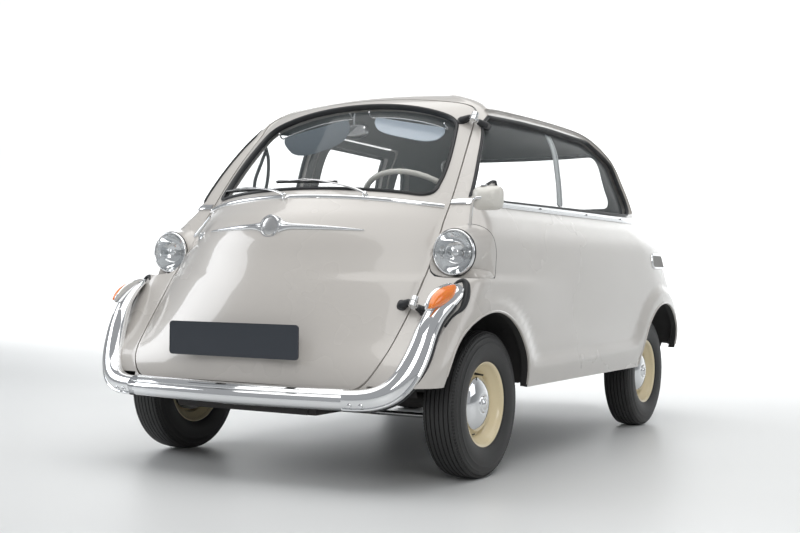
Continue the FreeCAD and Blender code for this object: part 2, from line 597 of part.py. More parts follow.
def horn(sign):
    """A curved horn lofted through six-sided stations square to its run."""
    wires = []
    for i, (x, y, z, wide, deep) in enumerate(HORN):
        before, after = HORN[max(i - 1, 0)], HORN[min(i + 1, len(HORN) - 1)]
        run = vec(after[0] - before[0], after[1] - before[1], after[2] - before[2]).normalize()
        out = vec(0.25, -1, 0).cross(run)
        out.normalize()
        forward = run.cross(out)
        forward.normalize()
        centre = vec(x, y, z)
        ring = []
        for k in range(8):
            angle = math.pi / 4 * k
            p = centre + out * (wide * math.cos(angle)) + forward * (deep * math.sin(angle))
            ring.append(vec(sign * p.x, p.y, p.z))
        wires.append(ring)
    return ring_solid(wires, split=True)


def seated_horn(sign):
    solid = horn(sign).cut([body_solid, bar(430, -1374, -1416, BAR_PROFILE)])
    return max(solid.Solids, key=lambda one: one.Volume)


horns = pair("bumper_horns", seated_horn)

# Headlamps: a pod let into each wing, a chrome ring and a lens.
def round_y(x, z, corners, sides=24):
    """A flat-sided round about the line along Y through x, z. Corners: y, radius. Closed if the last is the first."""
    hollow = corners[0] == corners[-1]
    angles = [2 * math.pi * k / sides for k in range(sides)]
    rings = [[vec(x + radius * math.sin(a), y, z + radius * math.cos(a)) for a in angles]
             for y, radius in (corners[:-1] if hollow else corners)]
    return ring_solid(rings, hollow)


lamp_y, lamp_r, pod_r = S["lamp_y"], S["lamp_radius"], S["lamp_radius"] + S["lamp_rim"]
lamp_x, lamp_z = S["lamp_x"], S["lamp_z"]


def lamp_pod(sign):
    cup = round_y(sign * lamp_x, lamp_z, ((lamp_y + 2, pod_r), (POD_BACK_Y, pod_r), (POD_BACK_Y, pod_r - 8),
                                          (lamp_y + 2, pod_r - 8), (lamp_y + 2, pod_r)))
    back = round_y(sign * lamp_x, lamp_z, ((POD_BACK_Y - 10, pod_r - 8), (POD_BACK_Y, pod_r - 8)))
    return cup.fuse(back).removeSplitter().cut(door_clear)


def lamp_ring(sign):
    seat_y = lamp_y + 2 - pane_gap
    corners = ((seat_y, lamp_r - 16), (lamp_y - 14, lamp_r - 13), (lamp_y - 8, lamp_r), (seat_y, pod_r - 3),
               (seat_y, lamp_r - 16))
    return round_y(sign * lamp_x, lamp_z, corners).cut(door_clear)


def lamp_lens(sign):
    lens_r = lamp_r - 16 - pane_gap
    return round_y(sign * lamp_x, lamp_z, ((lamp_y + 16, lens_r), (lamp_y - 10, lens_r), (lamp_y - 24, lens_r - 26),
                                           (lamp_y - 28, 8)))


def indicator(sign):
    """A leaf-shaped lens on the top of a horn. Stations: along, half width, half height."""
    middle = vec(sign * 640, -1168, 600)
    rings = []
    for along, wide, high in ((-88, 3, 3), (-50, 19, 18), (0, 28, 26), (50, 26, 24), (82, 12, 10)):
        angles = [math.pi / 4 * k for k in range(8)]
        rings.append([middle + vec(sign * wide * math.cos(a), 0.9 * along, high * math.sin(a) + 0.44 * along)
                      for a in angles])
    lens = ring_solid(rings, split=True).cut([horns.Shape, body_solid])
    return max(lens.Solids, key=lambda one: one.Volume)


pair("headlamp_pods", lamp_pod)
pair("headlamp_rings", lamp_ring)
pair("headlamp_lenses", lamp_lens)
pair("indicators", indicator)

# Number plate on two stand-offs.
plate_face = S["plate_y"]
plate = box(-S["plate_width"] / 2, S["plate_width"] / 2, plate_face, plate_face + S["plate_thick"],
            S["plate_z"] - S["plate_height"] / 2, S["plate_z"] + S["plate_height"] / 2)
stand_offs = [box(x - 14, x + 14, plate_face + S["plate_thick"], plate_face + 130, S["plate_z"] - 14, S["plate_z"] + 14)
              for x in (-150, 150)]
feature("number_plate", fused([plate] + stand_offs).cut(body_solid))

# Badge and its two bars across the front door.
bars = bar(318, -1148, -1216, ((-20, 812), (16, 814), (16, 824), (-20, 826)))
badge = round_y(0, 826, ((-1150, 40), (-1214, 40), (-1221, 33)))
feature("front_badge", fused([bars, badge]).cut(body_solid))

# Dash, column and steering wheel ride on the front door.
column_x, column_slope = S["column_x"], math.radians(50)
rim_centre = vec(column_x, -630, 905)
column_up = vec(0, math.cos(column_slope), math.sin(column_slope))
dash = box(-390, 390, -1200, -950, 845, 885).fuse(box(column_x - 20, column_x + 20, -951, -690, 850, 880))
column = Part.makeCylinder(18, 600, rim_centre - column_up * 660, column_up)
dash = dash.common(cavity).fuse(column).removeSplitter()
dash = dash.cut(Part.makeCylinder(12.05, 700, rim_centre - column_up * 680, column_up))
feature("dash_and_column", dash)
shaft = Part.makeCylinder(12, 640, rim_centre - column_up * 640, column_up)
across = vec(1, 0, 0)
up = column_up.cross(across)
hoop_rings = []
for k in range(24):
    angle = 2 * math.pi * k / 24
    out = across * math.cos(angle) + up * math.sin(angle)
    middle = rim_centre + out * S["wheel_rim_radius"]
    hoop_rings.append([middle + (out * math.cos(a) + column_up * math.sin(a)) * S["wheel_rim_tube"]
                       for a in (math.pi / 3 * side for side in range(6))])
hoop = ring_solid(hoop_rings, hollow=True, split=True)
spokes = []
for side, rise in ((-1, 0.0), (1, 0.0)):
    spokes.append(Part.makeCylinder(7, S["wheel_rim_radius"], rim_centre, across * side + up * rise))
hub = Part.makeCylinder(30, 24, rim_centre - column_up * 14, column_up)
feature("steering_wheel", fused([shaft, hoop, hub] + spokes))

# Tail lamps, mirror.
pair("tail_lamps", lambda sign: round_y(sign * 520, 600, ((1100, 38), (1262, 38), (1272, 30)), 16).cut(body_solid))
MIRROR = vec(688, -958, 922)
mirror_foot = vec(606, -915, 815)
stalk = Part.makeCylinder(5, (MIRROR - mirror_foot).Length, mirror_foot, MIRROR - mirror_foot)
shell_rings = []
for y, half_x, half_z in ((-26, 22, 16), (-18, 44, 31), (4, 54, 40), (16, 54, 40)):
    corners = [(1, -0.6), (0.8, -1), (-0.8, -1), (-1, -0.6), (-1, 0.6), (-0.8, 1), (0.8, 1), (1, 0.6)]
    shell_rings.append([MIRROR + vec(half_x * a, y, half_z * b) for a, b in reversed(corners)])
mirror_head = ring_solid(shell_rings, split=True)
feature("door_mirror", fused([stalk, mirror_head]).cut(body_solid))
print("built")

parts_made = [item for item in doc.Objects if item.TypeId in
              ("Part::Feature", "PartDesign::Body", "Part::Box", "Part::Cylinder")]
doc.recompute()
os.makedirs("parts", exist_ok=True)
for item in doc.Objects:
    if "Invalid" in item.State or "Error" in item.State:
        raise RuntimeError("%s failed" % item.Label)
for item in parts_made:
    shape = item.Shape
    if shape.isNull() or not shape.isValid():
        raise RuntimeError("%s has no valid shape" % item.Label)
    shape.exportStep("parts/%s.step" % item.Label)
print("wrote", len(parts_made), "parts")
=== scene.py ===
"""A four-seat bubble car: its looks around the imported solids. All lengths are metres.

The car faces -Y, +X is its left side and +Z is up.
"""

import json
import math

import bmesh
import bpy
import numpy as np
from mathutils import Matrix, Vector
from mathutils.bvhtree import BVHTree
from mathutils.interpolate import poly_3d_calc

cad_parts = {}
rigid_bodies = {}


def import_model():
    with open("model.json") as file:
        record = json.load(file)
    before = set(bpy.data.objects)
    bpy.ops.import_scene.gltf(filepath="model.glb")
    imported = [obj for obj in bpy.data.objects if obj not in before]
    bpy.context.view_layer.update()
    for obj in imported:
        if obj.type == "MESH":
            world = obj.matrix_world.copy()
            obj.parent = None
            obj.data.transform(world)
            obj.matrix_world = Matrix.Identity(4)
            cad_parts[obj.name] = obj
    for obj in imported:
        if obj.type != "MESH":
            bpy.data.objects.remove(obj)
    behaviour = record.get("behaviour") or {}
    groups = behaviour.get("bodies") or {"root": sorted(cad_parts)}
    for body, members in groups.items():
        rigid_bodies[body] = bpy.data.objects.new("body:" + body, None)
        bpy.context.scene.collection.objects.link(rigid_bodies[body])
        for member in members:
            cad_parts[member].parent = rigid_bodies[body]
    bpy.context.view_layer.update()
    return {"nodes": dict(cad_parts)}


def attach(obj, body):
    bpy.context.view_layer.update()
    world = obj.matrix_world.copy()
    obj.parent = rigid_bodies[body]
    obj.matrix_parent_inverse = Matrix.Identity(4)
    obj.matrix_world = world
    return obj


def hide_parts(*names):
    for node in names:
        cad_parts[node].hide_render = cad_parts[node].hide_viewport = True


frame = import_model()
MM = 0.001


# ---------------------------------------------------------------- material effects

def new_group(name, inputs, outputs):
    """An empty shader node group. Inputs and outputs: name, socket type, default."""
    group = bpy.data.node_groups.new(name, "ShaderNodeTree")
    for label, kind, default in inputs:
        socket = group.interface.new_socket(label, in_out="INPUT", socket_type=kind)
        socket.default_value = default
    for label, kind in outputs:
        group.interface.new_socket(label, in_out="OUTPUT", socket_type=kind)
    start = group.nodes.new("NodeGroupInput")
    end = group.nodes.new("NodeGroupOutput")
    return group, start, end


def node(tree, kind, links=(), **values):
    """A node with its properties or input defaults set, and its inputs linked: (input, output socket)."""
    made = tree.nodes.new(kind)
    for key, value in values.items():
        if hasattr(made, key):
            setattr(made, key, value)
        else:
            made.inputs[key.replace("_", " ")].default_value = value
    for place, socket in links:
        tree.links.new(socket, made.inputs[place])
    return made


FLOAT, COLOR = "NodeSocketFloat", "NodeSocketColor"


def make_mottle():
    """Slow colour drift and fine surface waviness: a colour, a roughness and a height."""
    group, start, end = new_group(
        "mottle",
        [("Colour", COLOR, (0.5, 0.5, 0.5, 1)), ("Second", COLOR, (0.4, 0.4, 0.4, 1)), ("Scale", FLOAT, 3.0),
         ("Amount", FLOAT, 0.3), ("Roughness", FLOAT, 0.3), ("Spread", FLOAT, 0.1),
         ("Fine Scale", FLOAT, 300.0)],
        [("Colour", COLOR), ("Roughness", FLOAT), ("Height", FLOAT)])
    place = node(group, "ShaderNodeTexCoord")
    slow = node(group, "ShaderNodeTexNoise",
                [("Vector", place.outputs["Object"]), ("Scale", start.outputs["Scale"])],
                Detail=4.0, Roughness=0.6)
    fine = node(group, "ShaderNodeTexNoise",
                [("Vector", place.outputs["Object"]), ("Scale", start.outputs["Fine Scale"])], Detail=3.0)
    share = node(group, "ShaderNodeMath", [(0, slow.outputs["Fac"]), (1, start.outputs["Amount"])],
                 operation="MULTIPLY")
    mix = node(group, "ShaderNodeMix", [(0, share.outputs[0]), (6, start.outputs["Colour"]),
                                        (7, start.outputs["Second"])], data_type="RGBA")
    centred = node(group, "ShaderNodeMath", [(0, slow.outputs["Fac"])], operation="SUBTRACT")
    centred.inputs[1].default_value = 0.5
    drift = node(group, "ShaderNodeMath", [(0, centred.outputs[0]), (1, start.outputs["Spread"]),
                                           (2, start.outputs["Roughness"])], operation="MULTIPLY_ADD")
    group.links.new(mix.outputs[2], end.inputs["Colour"])
    group.links.new(drift.outputs[0], end.inputs["Roughness"])
    group.links.new(fine.outputs["Fac"], end.inputs["Height"])
    return group


def make_wear():
    """Grime that gathers low down: mixes a dust colour in and roughens it."""
    group, start, end = new_group(
        "road_dust",
        [("Colour", COLOR, (0.5, 0.5, 0.5, 1)), ("Dust", COLOR, (0.25, 0.23, 0.2, 1)),
         ("Roughness", FLOAT, 0.3), ("Height", FLOAT, 0.35), ("Amount", FLOAT, 0.35)],
        [("Colour", COLOR), ("Roughness", FLOAT)])
    place = node(group, "ShaderNodeTexCoord")
    split = node(group, "ShaderNodeSeparateXYZ", [(0, place.outputs["Object"])])
    noise = node(group, "ShaderNodeTexNoise", [("Vector", place.outputs["Object"])], Scale=22.0, Detail=6.0)
    low = node(group, "ShaderNodeMath", [(0, start.outputs["Height"]), (1, split.outputs["Z"])],
               operation="SUBTRACT")
    share = node(group, "ShaderNodeMath", [(0, low.outputs[0])], operation="MULTIPLY", use_clamp=True)
    share.inputs[1].default_value = 3.0
    speckle = node(group, "ShaderNodeMath", [(0, share.outputs[0]), (1, noise.outputs["Fac"])],
                   operation="MULTIPLY")
    amount = node(group, "ShaderNodeMath", [(0, speckle.outputs[0]), (1, start.outputs["Amount"])],
                  operation="MULTIPLY", use_clamp=True)
    mix = node(group, "ShaderNodeMix", [(0, amount.outputs[0]), (6, start.outputs["Colour"]),
                                        (7, start.outputs["Dust"])], data_type="RGBA")
    rough = node(group, "ShaderNodeMath", [(0, amount.outputs[0]), (2, start.outputs["Roughness"])],
                 operation="MULTIPLY_ADD")
    rough.inputs[1].default_value = 0.5
    group.links.new(mix.outputs[2], end.inputs["Colour"])
    group.links.new(rough.outputs[0], end.inputs["Roughness"])
    return group


MOTTLE, ROAD_DUST = make_mottle(), make_wear()


def finish_of(name, colour, second, roughness, scale=3.0, amount=0.3, spread=0.08, fine=300.0, bump=0.0,
              dust=0.0, **shader):
    """A material whose colour and roughness drift over the surface. shader: sockets set on the BSDF."""
    material = bpy.data.materials.new(name)
    material.use_nodes = True
    tree = material.node_tree
    bsdf = tree.nodes["Principled BSDF"]
    for key, value in shader.items():
        bsdf.inputs[key.replace("_", " ")].default_value = value
    drift = node(tree, "ShaderNodeGroup", node_tree=MOTTLE)
    for key, value in (("Colour", (*colour, 1)), ("Second", (*second, 1)), ("Scale", scale),
                       ("Amount", amount), ("Roughness", roughness), ("Spread", spread),
                       ("Fine Scale", fine)):
        drift.inputs[key].default_value = value
    colour_out, rough_out = drift.outputs["Colour"], drift.outputs["Roughness"]
    if dust:
        grime = node(tree, "ShaderNodeGroup", node_tree=ROAD_DUST)
        grime.inputs["Amount"].default_value = dust
        tree.links.new(colour_out, grime.inputs["Colour"])
        tree.links.new(rough_out, grime.inputs["Roughness"])
        colour_out, rough_out = grime.outputs["Colour"], grime.outputs["Roughness"]
    tree.links.new(colour_out, bsdf.inputs["Base Color"])
    tree.links.new(rough_out, bsdf.inputs["Roughness"])
    if bump:
        relief = node(tree, "ShaderNodeBump", [("Height", drift.outputs["Height"])], Strength=bump,
                      Distance=0.001)
        tree.links.new(relief.outputs[0], bsdf.inputs["Normal"])
    return material


PAINT = finish_of("warm_grey_paint", (0.53, 0.505, 0.475), (0.50, 0.475, 0.445), 0.27, scale=1.2, amount=0.35,
                  fine=900.0, dust=0.12, Coat_Weight=0.8, Coat_Roughness=0.04, Coat_IOR=1.5)
CHROME = finish_of("bright_chrome", (0.80, 0.81, 0.82), (0.70, 0.71, 0.72), 0.05, scale=14.0, amount=0.4,
                   spread=0.06, fine=60.0, bump=0.02, Metallic=1.0)
ALLOY = finish_of("brushed_trim", (0.66, 0.66, 0.66), (0.52, 0.52, 0.52), 0.26, scale=30.0, fine=700.0,
                  bump=0.05, Metallic=1.0)
RUBBER = finish_of("black_rubber", (0.010, 0.011, 0.013), (0.020, 0.021, 0.023), 0.42, scale=9.0, amount=0.6,
                   fine=500.0, bump=0.15)
TYRE = finish_of("tyre_rubber", (0.020, 0.020, 0.021), (0.030, 0.030, 0.029), 0.52, scale=12.0, amount=0.7,
                 fine=700.0, bump=0.2, dust=0.03)
DARK = finish_of("underseal", (0.014, 0.014, 0.015), (0.03, 0.028, 0.026), 0.7, scale=8.0, amount=0.8,
                 fine=260.0, bump=0.4, dust=0.2)
RIM = finish_of("ivory_wheel_paint", (0.76, 0.65, 0.42), (0.66, 0.55, 0.34), 0.3, scale=8.0, fine=600.0,
                bump=0.03, dust=0.25, Coat_Weight=0.5, Coat_Roughness=0.08)
IVORY = finish_of("ivory_plastic", (0.66, 0.645, 0.60), (0.6, 0.58, 0.53), 0.28, scale=9.0, fine=500.0,
                  bump=0.02, Coat_Weight=0.4, Coat_Roughness=0.08)
AMBER = finish_of("amber_lens", (0.9, 0.22, 0.01), (0.75, 0.14, 0.0), 0.12, scale=30.0, fine=200.0, bump=0.1,
                  Coat_Weight=1.0, Coat_Roughness=0.03, Subsurface_Weight=0.3)
RED = finish_of("red_lens", (0.42, 0.008, 0.008), (0.3, 0.004, 0.004), 0.12, scale=30.0, fine=200.0, bump=0.1,
                Coat_Weight=1.0, Coat_Roughness=0.03)
PLATE = finish_of("plate_blue_grey", (0.026, 0.032, 0.042), (0.034, 0.040, 0.052), 0.32, scale=5.0,
                  fine=400.0, bump=0.03, Coat_Weight=0.3, Coat_Roughness=0.15)
ENGINE = finish_of("cast_alloy", (0.42, 0.42, 0.41), (0.3, 0.29, 0.28), 0.5, scale=7.0, amount=0.6,
                   fine=220.0, bump=0.4, Metallic=0.8)
EXHAUST = finish_of("exhaust_iron", (0.1, 0.085, 0.07), (0.19, 0.12, 0.07), 0.7, scale=11.0, amount=0.8,
                    fine=180.0, bump=0.5, Metallic=0.4)
DASH = finish_of("dash_paint", (0.5, 0.48, 0.45), (0.44, 0.42, 0.39), 0.3, scale=3.0, fine=600.0, bump=0.02,
                 Coat_Weight=0.5, Coat_Roughness=0.06)
LINING = finish_of("headlining", (0.21, 0.205, 0.20), (0.17, 0.166, 0.162), 0.85, scale=5.0, fine=900.0,
                   bump=0.06)
SEAT = finish_of("seat_cloth", (0.20, 0.205, 0.215), (0.14, 0.145, 0.155), 0.82, scale=60.0, amount=0.8,
                 fine=1400.0, bump=0.5)
VISOR = finish_of("visor_tint", (0.40, 0.47, 0.55), (0.34, 0.40, 0.48), 0.25, scale=4.0, fine=300.0,
                  bump=0.02, Coat_Weight=0.5, Coat_Roughness=0.1)
FROSTED = finish_of("frosted_pane_edge", (0.50, 0.53, 0.54), (0.42, 0.45, 0.46), 0.35, scale=9.0, fine=300.0,
                    bump=0.03)
CARPET = finish_of("floor_mat", (0.022, 0.022, 0.023), (0.04, 0.04, 0.04), 0.9, scale=20.0, amount=0.7,
                   fine=800.0, bump=0.6)


def glass(name, tint, roughness=0.0, alpha=0.25):
    """Thin clear glass: mostly see-through, with a sheen that grows at a shallow angle."""
    material = bpy.data.materials.new(name)
    material.use_nodes = True
    tree = material.node_tree
    bsdf = tree.nodes["Principled BSDF"]
    drift = node(tree, "ShaderNodeGroup", node_tree=MOTTLE)
    for key, value in (("Colour", (*tint, 1)), ("Second", (*(0.8 * c for c in tint), 1)), ("Scale", 2.0),
                       ("Amount", 0.4), ("Roughness", roughness), ("Spread", 0.015), ("Fine Scale", 40.0)):
        drift.inputs[key].default_value = value
    tree.links.new(drift.outputs["Colour"], bsdf.inputs["Base Color"])
    tree.links.new(drift.outputs["Roughness"], bsdf.inputs["Roughness"])
    edge = node(tree, "ShaderNodeLayerWeight", Blend=0.35)
    rise = node(tree, "ShaderNodeMath", [(0, edge.outputs["Fresnel"])], operation="MULTIPLY_ADD",
                use_clamp=True)
    rise.inputs[1].default_value, rise.inputs[2].default_value = 0.16, alpha
    tree.links.new(rise.outputs[0], bsdf.inputs["Alpha"])
    bsdf.inputs["IOR"].default_value = 1.5
    bsdf.inputs["Coat Weight"].default_value = 1.0
    bsdf.inputs["Coat Roughness"].default_value = 0.01
    return material


WINDOW = glass("window_glass", (0.16, 0.20, 0.21), roughness=0.02, alpha=0.02)
LENS = glass("lamp_glass", (0.75, 0.8, 0.82), roughness=0.02, alpha=0.09)


# ---------------------------------------------------------------- mesh helpers

def link(name, mesh):
    piece = bpy.data.objects.new(name, mesh)
    bpy.context.scene.collection.objects.link(piece)
    return piece


def mesh_of(name, verts, faces, material, outward=False):
    mesh = bpy.data.meshes.new(name)
    mesh.from_pydata([tuple(v) for v in verts], [], faces)
    mesh.materials.append(material)
    if outward:
        work = bmesh.new()
        work.from_mesh(mesh)
        bmesh.ops.recalc_face_normals(work, faces=work.faces)
        work.to_mesh(mesh)
        work.free()
    return link(name, mesh)


def smooth(piece, angle=35):
    piece.data.shade_smooth()
    piece.data.set_sharp_from_angle(angle=math.radians(angle))
    return piece


def baked(piece):
    """The piece with its modifiers turned into plain mesh."""
    graph = bpy.context.evaluated_depsgraph_get()
    mesh = bpy.data.meshes.new_from_object(piece.evaluated_get(graph))
    piece.modifiers.clear()
    piece.data = mesh
    return piece


def carve(piece, cutters, operation="DIFFERENCE"):
    """The piece cut by, or kept within, the cutters. Cut faces keep the cutter's material."""
    for cutter in cutters:
        step = piece.modifiers.new("cut", "BOOLEAN")
        step.object, step.operation, step.solver = cutter, operation, "MANIFOLD"
        step.material_mode = "TRANSFER"
    return baked(piece)


def copy_of(piece, name):
    return link(name, piece.data.copy())


def drop(*pieces):
    for piece in pieces:
        bpy.data.objects.remove(piece)


def join(name, pieces):
    """One mesh from several, with their materials kept."""
    work = bmesh.new()
    materials = []
    for piece in pieces:
        start = len(work.faces)
        work.from_mesh(piece.data)
        work.faces.ensure_lookup_table()
        slots = []
        for material in piece.data.materials:
            if material not in materials:
                materials.append(material)
            slots.append(materials.index(material))
        for face in work.faces[start:]:
            face.material_index = slots[face.material_index] if slots else 0
    mesh = bpy.data.meshes.new(name)
    work.to_mesh(mesh)
    work.free()
    for material in materials:
        mesh.materials.append(material)
    drop(*pieces)
    return link(name, mesh)


def rings_mesh(name, rings, material, closed=False):
    """Quads between like-numbered points of neighbouring rings. closed joins the last ring to the first,
    else both ends get a face."""
    count = len(rings[0])
    verts = [p for ring in rings for p in ring]
    faces = []
    for i in range(len(rings) if closed else len(rings) - 1):
        a, b = i * count, (i + 1) % len(rings) * count
        for j in range(count):
            k = (j + 1) % count
            faces.append((a + j, a + k, b + k, b + j))
    if not closed:
        faces.append(tuple(reversed(range(count))))
        faces.append(tuple(range(len(verts) - count, len(verts))))
    return mesh_of(name, verts, faces, material, outward=True)


def round_steps(sides):
    """Even angles round a full turn."""
    return [2 * math.pi * k / sides for k in range(sides)]


def lathe(name, profile, place, axis, material, sides=48, closed=False):
    """A profile of (along, radius) turned about an axis through place."""
    axis = Vector(axis).normalized()
    side = axis.orthogonal().normalized()
    other = axis.cross(side)
    rings = []
    for along, radius in profile:
        middle = Vector(place) + axis * along
        rings.append([middle + (side * math.cos(a) + other * math.sin(a)) * max(radius, 1e-5)
                      for a in round_steps(sides)])
    return rings_mesh(name, rings, material, closed=closed)


def mirror_x(piece, name=None, keep=True):
    """The same piece on the other side of the car, and the first one dropped unless it is kept."""
    twin = copy_of(piece, name or piece.name + "_twin")
    twin.data.transform(Matrix.Scale(-1, 4, (1, 0, 0)))
    twin.data.flip_normals()
    if not keep:
        drop(piece)
    return twin


def both_sides(name, maker):
    """The left and the right copy of what maker(side) makes, as one piece."""
    return join(name, [maker(1), maker(-1)])


# ---------------------------------------------------------------- the body's skin

# Plan sections, in millimetres as on the drawing. Columns: z, front centre y, seam x, seam y, side x,
# corner radius, rear centre y, tail corner radius.
SECTIONS = (
    (285, -1392, 470, -1345, 672, 100, 1385, 250),
    (380, -1380, 495, -1312, 690, 110, 1392, 250),
    (470, -1357, 509, -1236, 694, 110, 1388, 250),
    (600, -1305, 521, -1121, 694, 100, 1320, 250),
    (720, -1245, 520, -1026, 688, 90, 1230, 250),
    (800, -1208, 515, -965, 676, 85, 1180, 250),
    (860, -1165, 510, -918, 645, 80, 1085, 250),
    (905, -1105, 507, -880, 610, 62, 1048, 260),
    (963, -1020, 504, -835, 600, 52, 1035, 270),
    (1070, -894, 492, -750, 575, 44, 955, 280),
    (1200, -742, 472, -635, 530, 40, 890, 280),
    (1290, -635, 420, -560, 462, 38, 800, 280),
    (1345, -530, 300, -475, 340, 36, 620, 240),
    (1375, -250, 110, -230, 130, 18, 300, 90),
)
BULGE_RADIUS, REAR_RADIUS, BULGE_TURN = 2.0, 1.2, math.radians(8)
STEPS_UP = 9
COUNTS = {"front": 28, "ledge": 5, "corner": 9, "side": 44, "bulge": 14, "tail": 18, "rear": 16}


def between(start, end, leave, arrive, t):
    """A smooth curve from start to end with given ways of leaving and arriving."""
    return (start * (2 * t ** 3 - 3 * t ** 2 + 1) + leave * (t ** 3 - 2 * t ** 2 + t)
            + end * (3 * t ** 2 - 2 * t ** 3) + arrive * (t ** 3 - t ** 2))


def sections_between(rows, steps):
    """The sections and smooth ones between them, as rows of metres."""
    table = np.array(rows, float) * MM
    along = np.concatenate([[0], np.cumsum(np.sqrt((np.diff(table[:, [0, 4, 1]], axis=0) ** 2).sum(1)))])
    slope = np.gradient(table, along, axis=0)
    slope[-1, 0] = 0
    made = []
    for i in range(len(table) - 1):
        width = along[i + 1] - along[i]
        made += [between(table[i], table[i + 1], slope[i] * width, slope[i + 1] * width, t)
                 for t in np.arange(steps) / steps]
    made.append(table[-1])
    return np.array(made)


def half_section(row):
    """Left half of one plan section, from the front centre to the rear centre."""
    z, front, seam_x, seam_y, side, corner, rear, tail = row
    rise = seam_y - front
    radius = (seam_x ** 2 + rise ** 2) / (2 * rise)
    turn = math.asin(min(seam_x / radius, 1))
    points = [(radius * math.sin(a), front + radius - radius * math.cos(a))
              for a in np.linspace(0, turn, COUNTS["front"], endpoint=False)]
    points += [(x, seam_y) for x in np.linspace(seam_x, side - corner, COUNTS["ledge"], endpoint=False)]
    points += [(side - corner + corner * math.sin(a), seam_y + corner - corner * math.cos(a))
               for a in np.linspace(0, math.pi / 2, COUNTS["corner"], endpoint=False)]
    tail_x = side - BULGE_RADIUS + (BULGE_RADIUS - tail) * math.cos(BULGE_TURN)
    tail_y = rear - REAR_RADIUS + math.sqrt((REAR_RADIUS - tail) ** 2 - tail_x ** 2)
    bulge_y = tail_y - (BULGE_RADIUS - tail) * math.sin(BULGE_TURN)
    end = math.atan2(tail_y - (rear - REAR_RADIUS), tail_x)
    points += [(side, y) for y in np.linspace(seam_y + corner, bulge_y, COUNTS["side"], endpoint=False)]
    points += [(side - BULGE_RADIUS + BULGE_RADIUS * math.cos(a), bulge_y + BULGE_RADIUS * math.sin(a))
               for a in np.linspace(0, BULGE_TURN, COUNTS["bulge"], endpoint=False)]
    points += [(tail_x + tail * math.cos(a), tail_y + tail * math.sin(a))
               for a in np.linspace(BULGE_TURN, end, COUNTS["tail"], endpoint=False)]
    foot = tail_x + tail * math.cos(end)
    last = math.asin(foot / REAR_RADIUS)
    points += [(REAR_RADIUS * math.sin(a), rear - REAR_RADIUS + REAR_RADIUS * math.cos(a))
               for a in np.linspace(last, 0, COUNTS["rear"])]
    return [(x, y, z) for x, y in points]


def eased(value, low, high):
    share = np.clip((value - low) / (high - low), 0, 1)
    return share * share * (3 - 2 * share)


FRONT_ARCH, REAR_ARCH, ARCH_Z, ARCH_RADIUS = -0.930, 0.855, 0.240, 0.310
FLARE_PROUD, STEP_PROUD, LAMP_SHELF = 0.016, 0.010, 0.660
# The flares' radii, the sill band's height and how sharply the three run into each other.
FRONT_FLARE, REAR_FLARE, SILL_HIGH, KNIT = 0.357, 0.368, 0.362, 60


def proud(y, z):
    """How far the wheel arch flares, the sill band and the step under the lamp stand out of the flank."""
    front = FRONT_FLARE - np.hypot(y - FRONT_ARCH, z - ARCH_Z)
    rear = REAR_FLARE - np.hypot(y - REAR_ARCH, z - ARCH_Z)
    sill = SILL_HIGH + 0.018 * (y + 0.6) - z
    sill = np.where((y > FRONT_ARCH) & (y < REAR_ARCH), sill, -1)
    inside = np.log(sum(np.exp(edge * KNIT) for edge in (front, rear, sill))) / KNIT
    flare = FLARE_PROUD * eased(inside, -0.030, 0.016) * eased(y, -1.16, -0.98)
    blend = 0.007 + 0.04 * eased(y, -0.86, -0.3)
    under = 1 - eased(z, LAMP_SHELF - blend, LAMP_SHELF + blend)
    step = STEP_PROUD * under * eased(z, 0.45, 0.62) * (1 - eased(y, -0.72, -0.2))
    return np.maximum(flare, step)


def skin_grid(rows):
    """Points of the whole outer skin: one ring a level, and the normal at each."""
    rings = []
    for row in rows:
        half = half_section(row)
        rings.append(half + [(-x, y, z) for x, y, z in reversed(half[1:-1])])
    points = np.array(rings)
    normals = grid_normals(points)
    lift = proud(points[..., 1], points[..., 2]) * np.clip(np.abs(normals[..., 0]) * 1.6 - 0.3, 0, 1)
    points = points + normals * lift[..., None]
    return points, grid_normals(points)


def grid_normals(points):
    around = np.roll(points, -1, axis=1) - np.roll(points, 1, axis=1)
    up = np.gradient(points, axis=0)
    normals = np.cross(around, up)
    return normals / np.maximum(np.linalg.norm(normals, axis=2, keepdims=True), 1e-9)


def capped(name, points, material):
    """A closed solid from the grid: a flat foot, and a crown closed by shrinking rings."""
    rings = [list(map(tuple, ring)) for ring in points]
    top = points[-1]
    middle = top.mean(0)
    for share in (0.75, 0.5, 0.25, 0.05):
        rings.append([tuple(p) for p in middle + (top - middle) * share])
    return rings_mesh(name, rings, material)


skin_points, skin_normals = skin_grid(sections_between(SECTIONS, STEPS_UP))
body_solid = capped("skin", skin_points, PAINT)
skin_tree = BVHTree.FromObject(body_solid, bpy.context.evaluated_depsgraph_get())
WALL = 0.028
inner_points = skin_points - skin_normals * WALL
inner_points[0, :, 2] -= 0.03
inner_solid = capped("lining", inner_points, LINING)


def on_skin(point, direction):
    """Where a line along direction through point first meets the skin from outside, and its normal there."""
    direction = Vector(direction).normalized()
    hit, normal, _, _ = skin_tree.ray_cast(Vector(point) + direction * 3, -direction)
    if hit is None:
        raise RuntimeError("no skin under %s" % (point,))
    return hit, normal


# ---------------------------------------------------------------- outlines and cutters

def arc_points(run, step):
    """Points along a straight run of two points, or an arc through three, leaving out the last."""
    first, last = np.array(run[0], float), np.array(run[-1], float)
    chord = np.linalg.norm(last - first)
    count = max(int(chord / step), 1)
    shares = np.arange(count) / count
    if len(run) == 2:
        return [tuple(first + (last - first) * t) for t in shares]
    middle = np.array(run[1], float)
    quadratic = middle * 2 - (first + last) / 2
    return [tuple((1 - t) ** 2 * first + 2 * t * (1 - t) * quadratic + t * t * last) for t in shares]


def outline_of(runs, step=0.010):
    return [p for run in runs for p in arc_points([(x * MM, y * MM) for x, y in run], step)]


